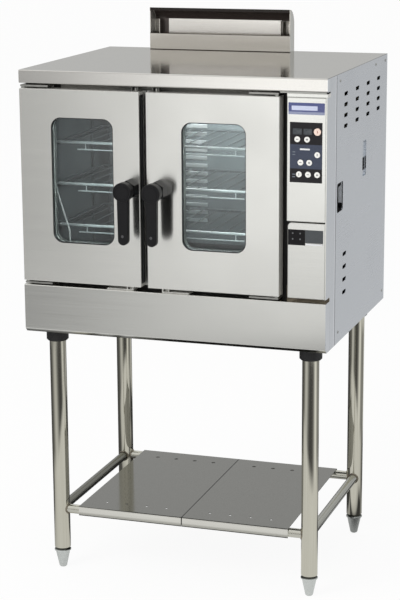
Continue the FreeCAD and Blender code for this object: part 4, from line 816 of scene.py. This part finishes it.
# Lower cover: the lamp window has a black lamp block with four small lamps beside a grey lens, which
# has a white strip along its foot. Two rubber buffers sit on the cover's upper edge.
LAMP_RADIUS = 0.0022
LAMP_RISE = 0.0006
LAMP_RIM = 0.0007
LAMP_DOME = 0.0003
BUFFER_RADIUS = 0.005
BUFFER_RISE = 0.0028
BUFFER_TAPER = 0.8
BUFFER_ROUNDING = 0.001
BUFFER_BACK = 0.006
BUFFER_SUNK = 0.0005
lamp_low, lamp_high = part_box("lamp_window")
cover_low, cover_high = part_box("lower_cover")
LENS = (at(840, 0, 0).x, lamp_high.x + 0.01)
lamp_mouldings = grained("lamp_mouldings", *shades(28, 27, 29, 11), (0.3, 0.4), 900.0, 0.0001,
                         marks=0.3, Specular_IOR_Level=0.2)
painted(lamp_mouldings, *shades(80, 83, 86, 12), X=LENS)
dress(lamp_mouldings, "lamp_window")
lamp_grey = grained("lamp_grey", *shades(120, 122, 124, 30), (0.2, 0.3), 500.0, 0.0001)
lamps = []
for across in (805, 826):
    for up in (1088, 1072):
        lamp = disc(Vector((at(across, 0, 0).x, lamp_low.y, up / 1000)), LAMP_RADIUS, 16, FORWARD)
        pull(0.0, -LAMP_RISE, 0.0)
        pick(lamp, lambda spot: spot.y < lamp_low.y - LAMP_RISE + HAIR)
        bpy.ops.mesh.inset(thickness=LAMP_RIM, depth=LAMP_DOME)
        closed()
        lamps.append(lamp)
fit(joined(lamps), "small_lamps", "cabinet", lamp_grey)
lens_strip = film((842, 889), (1056, 1060.5), lamp_low.y, rounding=0.0006, rise=0.0005)
fit(lens_strip, "lens_strip", "cabinet", print_white)
buffers = []
for across in (805, 879):
    place = Vector((at(across, 0, 0).x, cover_low.y + BUFFER_BACK, cover_high.z - BUFFER_SUNK))
    buffer = disc(place, BUFFER_RADIUS, 20)
    pull(0.0, 0.0, BUFFER_RISE)
    bpy.ops.transform.resize(value=(BUFFER_TAPER, BUFFER_TAPER, 1.0), center_override=place)
    pick(buffer, lambda spot: spot.z > place.z + BUFFER_RISE - HAIR, "EDGE")
    eased(BUFFER_ROUNDING, 3)
    closed()
    buffers.append(buffer)
fit(joined(buffers), "cover_buffers", "cabinet", collar_black)


# Doors: a pressed skin over a pan, both brushed sheet, with two panes held between them. The
# levers are moulded black over a steel spindle, which draws one latch rod down and one up out of
# plated keepers on the frame.
door_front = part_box("left_door_skin")[0].y
DOOR_SIDES = (door_front + 0.0022, door_front + 0.1)
UPPER_KEEPERS = (1.3, 1.6)
door_steel = polished("door_steel", *shades(249, 249, 244, 6), (0.17, 0.2), (4, 300, 300),
                      height=0.00002, Anisotropic=0.92, Anisotropic_Rotation=0.25)
painted(door_steel, *shades(224, 223, 218, 16), metal=0.1, soft=0.0008, Y=DOOR_SIDES)
liner_steel = polished("liner_steel", *shades(206, 207, 204, 22), (0.26, 0.38), (240, 240, 5))
handle_black = grained("handle_black", tone(17, 17, 20), tone(9, 9, 11), (0.3, 0.42), 800.0, 0.0003,
                       marks=0.4, Specular_IOR_Level=0.35)
keeper_zinc = polished("keeper_zinc", *shades(226, 226, 222, 22), (0.3, 0.42), (90, 90, 90), metal=0.2)
# painted shade: the upper keepers, in the dark gap above the doors, painted darker than the lower ones
painted(keeper_zinc, tone(104, 104, 100), tone(80, 80, 78), Z=UPPER_KEEPERS)


def glass_finish():
    """Clear glass with faint wiping marks, which lets light through to the oven."""
    coat = finish("pane_glass", Transmission_Weight=1.0, IOR=1.46, Metallic=0.0)
    tree = coat.node_tree
    shader = shader_of(coat)
    wiped = mask(tree, handling_marks, object_place(tree), Size=7.0, Cover=1.0)
    tint = between(tree, wiped, tone(240, 244, 244), tone(230, 235, 235))
    tree.links.new(tint, shader.inputs["Base Color"])
    tree.links.new(ranged(tree, wiped, 0.015, 0.05), shader.inputs["Roughness"])
    clear = step(tree, "BsdfTransparent", Color=tone(240, 245, 245))
    light = step(tree, "LightPath")
    shaded = step(tree, "MixShader", _0=light.outputs["Is Shadow Ray"], _1=shader.outputs["BSDF"],
                  _2=clear.outputs["BSDF"])
    tree.links.new(shaded.outputs["Shader"], tree.nodes["Material Output"].inputs["Surface"])
    return coat


pane_glass = glass_finish()
for side in ("left", "right"):
    dress(door_steel, side + "_door_skin")
    dress(liner_steel, side + "_door_liner")
    dress(pane_glass, side + "_door_glass")
    dress(handle_black, side + "_handle")
    dress(zinc_plate, side + "_spindle", side + "_upper_rod", side + "_lower_rod")
dress(zinc_plate, "hinge_brackets")
dress(keeper_zinc, "latch_keepers")


# Window seals: a black rubber ring in the reveal of each window, pressed against the outer pane.
# It is an extruded strip bent round the opening and joined at the bottom.
GLASS_LAP = 0.012
SEAL_PLAY = 0.0003
SEAL_WIDTH = 0.002
SEAL_THICKNESS = 0.0105
SEAL_ROUNDING = 0.0008
WINDOW_ROUNDING = 0.0297


def window_ring(low, high, back, lap, rounding, wall):
    """A flat ring round a window, let in by a lap from the panes' edges, open and selected."""
    middle = Vector(((low.x + high.x) / 2, back, (low.z + high.z) / 2))
    ring = front_face(middle, high.x - low.x - 2 * lap, high.z - low.z - 2 * lap, rounding, 10)
    bpy.ops.mesh.inset(thickness=wall, depth=0.0)
    bpy.ops.mesh.delete(type="FACE")
    take_all()
    return ring


seal_rubber = grained("seal_rubber", *shades(44, 46, 46, 16), (0.45, 0.6), 700.0, 0.0003)
for side in ("left", "right"):
    pane_low, pane_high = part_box(side + "_door_glass")
    seal = window_ring(pane_low, pane_high, pane_low.y, GLASS_LAP + SEAL_PLAY, WINDOW_ROUNDING, SEAL_WIDTH)
    pull(0.0, -SEAL_THICKNESS, 0.0)
    ease_front(seal, pane_low.y - 0.9 * SEAL_THICKNESS, SEAL_ROUNDING)
    fit(seal, side + "_window_seal", side + "_door", seal_rubber)


# Pane spacers: a bright steel strip bent round between a window's two panes, which holds them
# apart and closes the hollow of the door.
PANE = 0.004
SPACER_SHEET = 0.0012
SPACER_LAP = GLASS_LAP - SPACER_SHEET - SEAL_PLAY
SPACER_ROUNDING = WINDOW_ROUNDING + SPACER_SHEET
spacer_bright = polished("spacer_bright", *shades(168, 171, 167, 22), (0.3, 0.42), (120, 6, 120), metal=0.2)
for side in ("left", "right"):
    pane_low, pane_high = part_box(side + "_door_glass")
    back = pane_high.y - PANE - SEAL_PLAY
    spacer = window_ring(pane_low, pane_high, back, SPACER_LAP, SPACER_ROUNDING, SPACER_SHEET)
    depth = pane_high.y - pane_low.y - 2 * (PANE + SEAL_PLAY)
    pull(0.0, -depth, 0.0)
    fit(spacer, side + "_pane_spacer", side + "_door", spacer_bright)


# Door edge seals: a black rubber strip down the free edge of each door, with a raised rib that
# closes part of the gap between the two. Its black also stands in for the shade in that gap, as
# painted shade.
STRIP_MARGIN = 0.005
STRIP_SHEET = 0.0012
RIB_INSET = 0.009
RIB_RISE = 0.003
RIB_ROUNDING = 0.0012
for side, out in (("left", 1.0), ("right", -1.0)):
    skin_low, skin_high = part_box(side + "_door_skin")
    edge_x = skin_high.x if out > 0 else skin_low.x
    middle = Vector((edge_x, (skin_low.y + skin_high.y) / 2, (skin_low.z + skin_high.z) / 2))
    depth = skin_high.y - skin_low.y - 2 * STRIP_MARGIN
    length = skin_high.z - skin_low.z - 4 * STRIP_MARGIN
    strip = begin("plane", middle, (0.0, out * math.pi / 2, 0.0), size=1.0)
    bpy.ops.transform.resize(value=(1.0, depth, length), center_override=middle)
    pull(out * STRIP_SHEET, 0.0, 0.0)
    pick(strip, lambda spot: abs(spot.x - middle.x) > 0.9 * STRIP_SHEET)
    bpy.ops.mesh.inset(thickness=RIB_INSET, depth=0.0)
    pull(out * RIB_RISE, 0.0, 0.0)
    pick(strip, lambda spot: abs(spot.x - middle.x) > STRIP_SHEET + RIB_RISE - HAIR, "EDGE")
    eased(RIB_ROUNDING, 3)
    # painted shade: the black strip also stands in for the shade in the gap between the doors
    fit(strip, side + "_edge_seal", side + "_door", seal_rubber)


# Lever studs: a small dull steel button let into the front of each lever near its tip. It covers
# the screw that holds the lever's moulding.
STUD_RADIUS = 0.0042
STUD_SUNK = 0.0026
STUD_UP = 0.026
STUD_RISE = 0.0016
STUD_ROUNDING = 0.0012
stud_grey = polished("stud_grey", *shades(132, 132, 134, 36), (0.3, 0.42), (90, 90, 90))
for side in ("left", "right"):
    lever_low, lever_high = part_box(side + "_handle")
    lever_x = (lever_low.x + lever_high.x) / 2
    place = Vector((lever_x, lever_low.y + STUD_SUNK, lever_low.z + STUD_UP))
    stud = disc(place, STUD_RADIUS, 20, FORWARD)
    pull(0.0, -STUD_RISE, 0.0)
    ease_front(stud, place.y - STUD_RISE + HAIR, STUD_ROUNDING, 4)
    fit(stud, side + "_lever_stud", side + "_lever", stud_grey)


# Studio: a wide pale floor, a soft light from the front left, an even sky and a small lamp in the
# oven. Floor and sky are plain white to the eye, and shade off to the sides in what steel mirrors.
def ramped(tree, value, stops):
    """Grey levels along a value, as pairs of place and level."""
    levels = step(tree, "ValToRGB", Fac=value)
    ramp = levels.color_ramp
    for _ in stops[2:]:
        ramp.elements.new(0.5)
    for element, (where, level) in zip(ramp.elements, stops):
        element.position = where
        element.color = (level, level, level, 1.0)
    return levels.outputs["Color"]


def to_the_eye(tree):
    """A mask of what is seen straight or through glass."""
    rays = step(tree, "LightPath").outputs
    return worked(tree, "MAXIMUM", rays["Is Camera Ray"], rays["Is Transmission Ray"])


UNDER_END = (0.78, 0.95)
FEET_END = (1.38, 1.63)
LEGS_END = (3.05, 3.3)
LOW_END = (5.1, 8.1)


def ring_levels(tree, place):
    """The grey that mirrors show of the floor, by the way it lies from the oven and how far off."""
    turn = step(tree, "TexGradient", {"gradient_type": "RADIAL"}, Vector=place).outputs["Fac"]
    reach = step(tree, "VectorMath", {"operation": "LENGTH"}, Vector=place).outputs["Value"]
    under_ring = ramped(tree, turn, [
        (0.0, 0.1), (0.04, 0.5), (0.12, 0.7), (0.2, 0.72), (0.49, 0.72), (0.525, 0.5), (0.545, 0.05),
        (0.58, 0.05), (0.61, 0.4), (0.65, 0.4), (0.7, 0.06), (0.8, 0.05), (0.94, 0.1), (1.0, 0.1)])
    feet_ring = ramped(tree, turn, [
        (0.0, 0.08), (0.03, 0.2), (0.06, 0.58), (0.12, 0.7), (0.2, 0.72), (0.5, 0.74), (0.55, 0.66),
        (0.59, 0.3), (0.64, 0.06), (0.8, 0.04), (0.94, 0.08), (1.0, 0.08)])
    legs_ring = ramped(tree, turn, [
        (0.0, 0.12), (0.05, 0.12), (0.09, 0.35), (0.13, 0.56), (0.167, 0.6), (0.2, 0.46), (0.24, 0.2),
        (0.28, 0.09), (0.32, 0.07), (0.36, 0.08), (0.4, 0.2), (0.43, 0.52), (0.46, 0.85), (0.485, 0.9),
        (0.51, 0.55), (0.54, 0.28), (0.58, 0.3), (0.61, 0.2), (0.632, 0.2), (0.645, 0.64), (0.72, 0.64),
        (0.735, 0.06), (0.8, 0.04), (0.94, 0.08), (1.0, 0.08)])
    low_ring = ramped(tree, turn, [
        (0.0, 0.33), (0.17, 0.33), (0.177, 0.355), (0.185, 0.44), (0.197, 0.56), (0.207, 0.67),
        (0.217, 0.74), (0.27, 0.78), (0.31, 0.7), (0.42, 0.68), (0.6, 0.62), (0.72, 0.61), (0.85, 0.5),
        (1.0, 0.34)])
    high_ring = ramped(tree, turn, [
        (0.0, 0.4), (0.176, 0.4), (0.181, 0.44), (0.1874, 0.64), (0.1925, 0.86), (0.1953, 0.86),
        (0.2008, 1.1), (0.21, 1.24), (0.27, 1.27), (0.31, 0.8), (0.42, 0.7), (0.6, 0.62), (0.72, 0.61),
        (0.85, 0.5), (1.0, 0.4)])
    foot = between(tree, ranged(tree, reach, 0.0, 1.0, *UNDER_END), under_ring, feet_ring)
    close = between(tree, ranged(tree, reach, 0.0, 1.0, *FEET_END), foot, legs_ring)
    wide = between(tree, ranged(tree, reach, 0.0, 1.0, *LOW_END), low_ring, high_ring)
    return between(tree, ranged(tree, reach, 0.0, 1.0, *LEGS_END), close, wide)


def floor_finish():
    """Pale paper that keeps the shadow, close to white for the eye and shaded for mirrors."""
    coat = bpy.data.materials.new("studio_floor")
    coat.use_nodes = True
    tree = coat.node_tree
    tree.nodes.remove(shader_of(coat))
    place = object_place(tree)
    mirrored = step(tree, "Emission", Color=ring_levels(tree, place), Strength=1.0)
    chalk = step(tree, "TexNoise", Vector=place, Scale=30.0, Detail=3.0).outputs["Fac"]
    paper = step(tree, "BsdfDiffuse", Color=between(tree, chalk, tone(236, 236, 234), tone(242, 242, 240)))
    white = step(tree, "Emission", Strength=1.0)
    lit = step(tree, "MixShader", _0=0.93, _1=paper.outputs["BSDF"], _2=white.outputs["Emission"])
    eye = step(tree, "MixShader", _0=to_the_eye(tree), _1=paper.outputs["BSDF"], _2=lit.outputs["Shader"])
    glossy = step(tree, "LightPath").outputs["Is Glossy Ray"]
    whole = step(tree, "MixShader", _0=glossy, _1=eye.outputs["Shader"], _2=mirrored.outputs["Emission"])
    tree.links.new(whole.outputs["Shader"], tree.nodes["Material Output"].inputs["Surface"])
    return coat


bpy.ops.object.select_all(action="DESELECT")
bpy.ops.mesh.primitive_grid_add(x_subdivisions=4, y_subdivisions=4, size=80.0)
floor = bpy.context.object
floor.name = "studio_floor"
floor.data.materials.append(floor_finish())

sky = bpy.data.worlds.new("studio_sky")
bpy.context.scene.world = sky
sky.use_nodes = True
tree = sky.node_tree
heading = step(tree, "TexCoord").outputs["Generated"]
aim = parts_of(tree, heading)
ahead = ranged(tree, aim["Y"], 1.0, 0.0, -0.9, -0.3)
rim = between(tree, ahead, (0.47, 0.47, 0.46, 1.0), (0.66, 0.65, 0.64, 1.0))
open_sky = between(tree, aim["Z"], rim, (0.92, 0.92, 0.92, 1.0))
dark_band = within(tree, heading, 0.02, Y=(-2.0, -0.4), Z=(0.05, 0.16))
soft_sky = between(tree, dark_band, open_sky, (0.14, 0.13, 0.12, 1.0))
sky_colour = between(tree, to_the_eye(tree), soft_sky, (1.0, 1.0, 1.0, 1.0))
tree.links.new(sky_colour, tree.nodes["Background"].inputs["Color"])


def soft_light(name, place, shape, size, power):
    """An area light that mirrors don't show."""
    bpy.ops.object.light_add(type="AREA", location=place)
    light = bpy.context.object
    light.name = name
    light.data.shape = shape
    light.data.size = size
    light.data.energy = power
    light.visible_glossy = False
    return light


key_light = soft_light("key_light", (-2.6, -4.2, 3.6), "DISK", 3.2, 160.0)
aim_point = Vector((0.0, 0.0, 0.9))
key_light.rotation_euler = (aim_point - key_light.location).to_track_quat("-Z", "Y").to_euler()
oven_lamp = soft_light("oven_lamp", at(500, 300, 1425), "RECTANGLE", 0.3, 5.0)
oven_lamp.data.size_y = 0.3

YAW = 0.3226
PITCH = 0.231
ROLL = 0.0066
FOCUS_PIXELS = 1832.5
PICTURE_HEIGHT = 600
look = Vector((-math.sin(YAW) * math.cos(PITCH), math.cos(YAW) * math.cos(PITCH), -math.sin(PITCH)))
right = Vector((math.cos(YAW), math.sin(YAW), 0.0))
down = look.cross(right)
right_rolled = math.cos(ROLL) * right + math.sin(ROLL) * down
down_rolled = -math.sin(ROLL) * right + math.cos(ROLL) * down
bpy.ops.object.camera_add(location=at(2123.7, -4750.4, 2059.3))
camera = bpy.context.object
camera.name = "photo_camera"
axes = Matrix((right_rolled, -down_rolled, -look)).transposed()
camera.rotation_euler = axes.to_euler()
camera.data.sensor_width = 36.0
camera.data.lens = FOCUS_PIXELS / PICTURE_HEIGHT * camera.data.sensor_width
camera.data.clip_end = 200.0
scene = bpy.context.scene
scene.camera = camera
scene.view_settings.view_transform = "Standard"
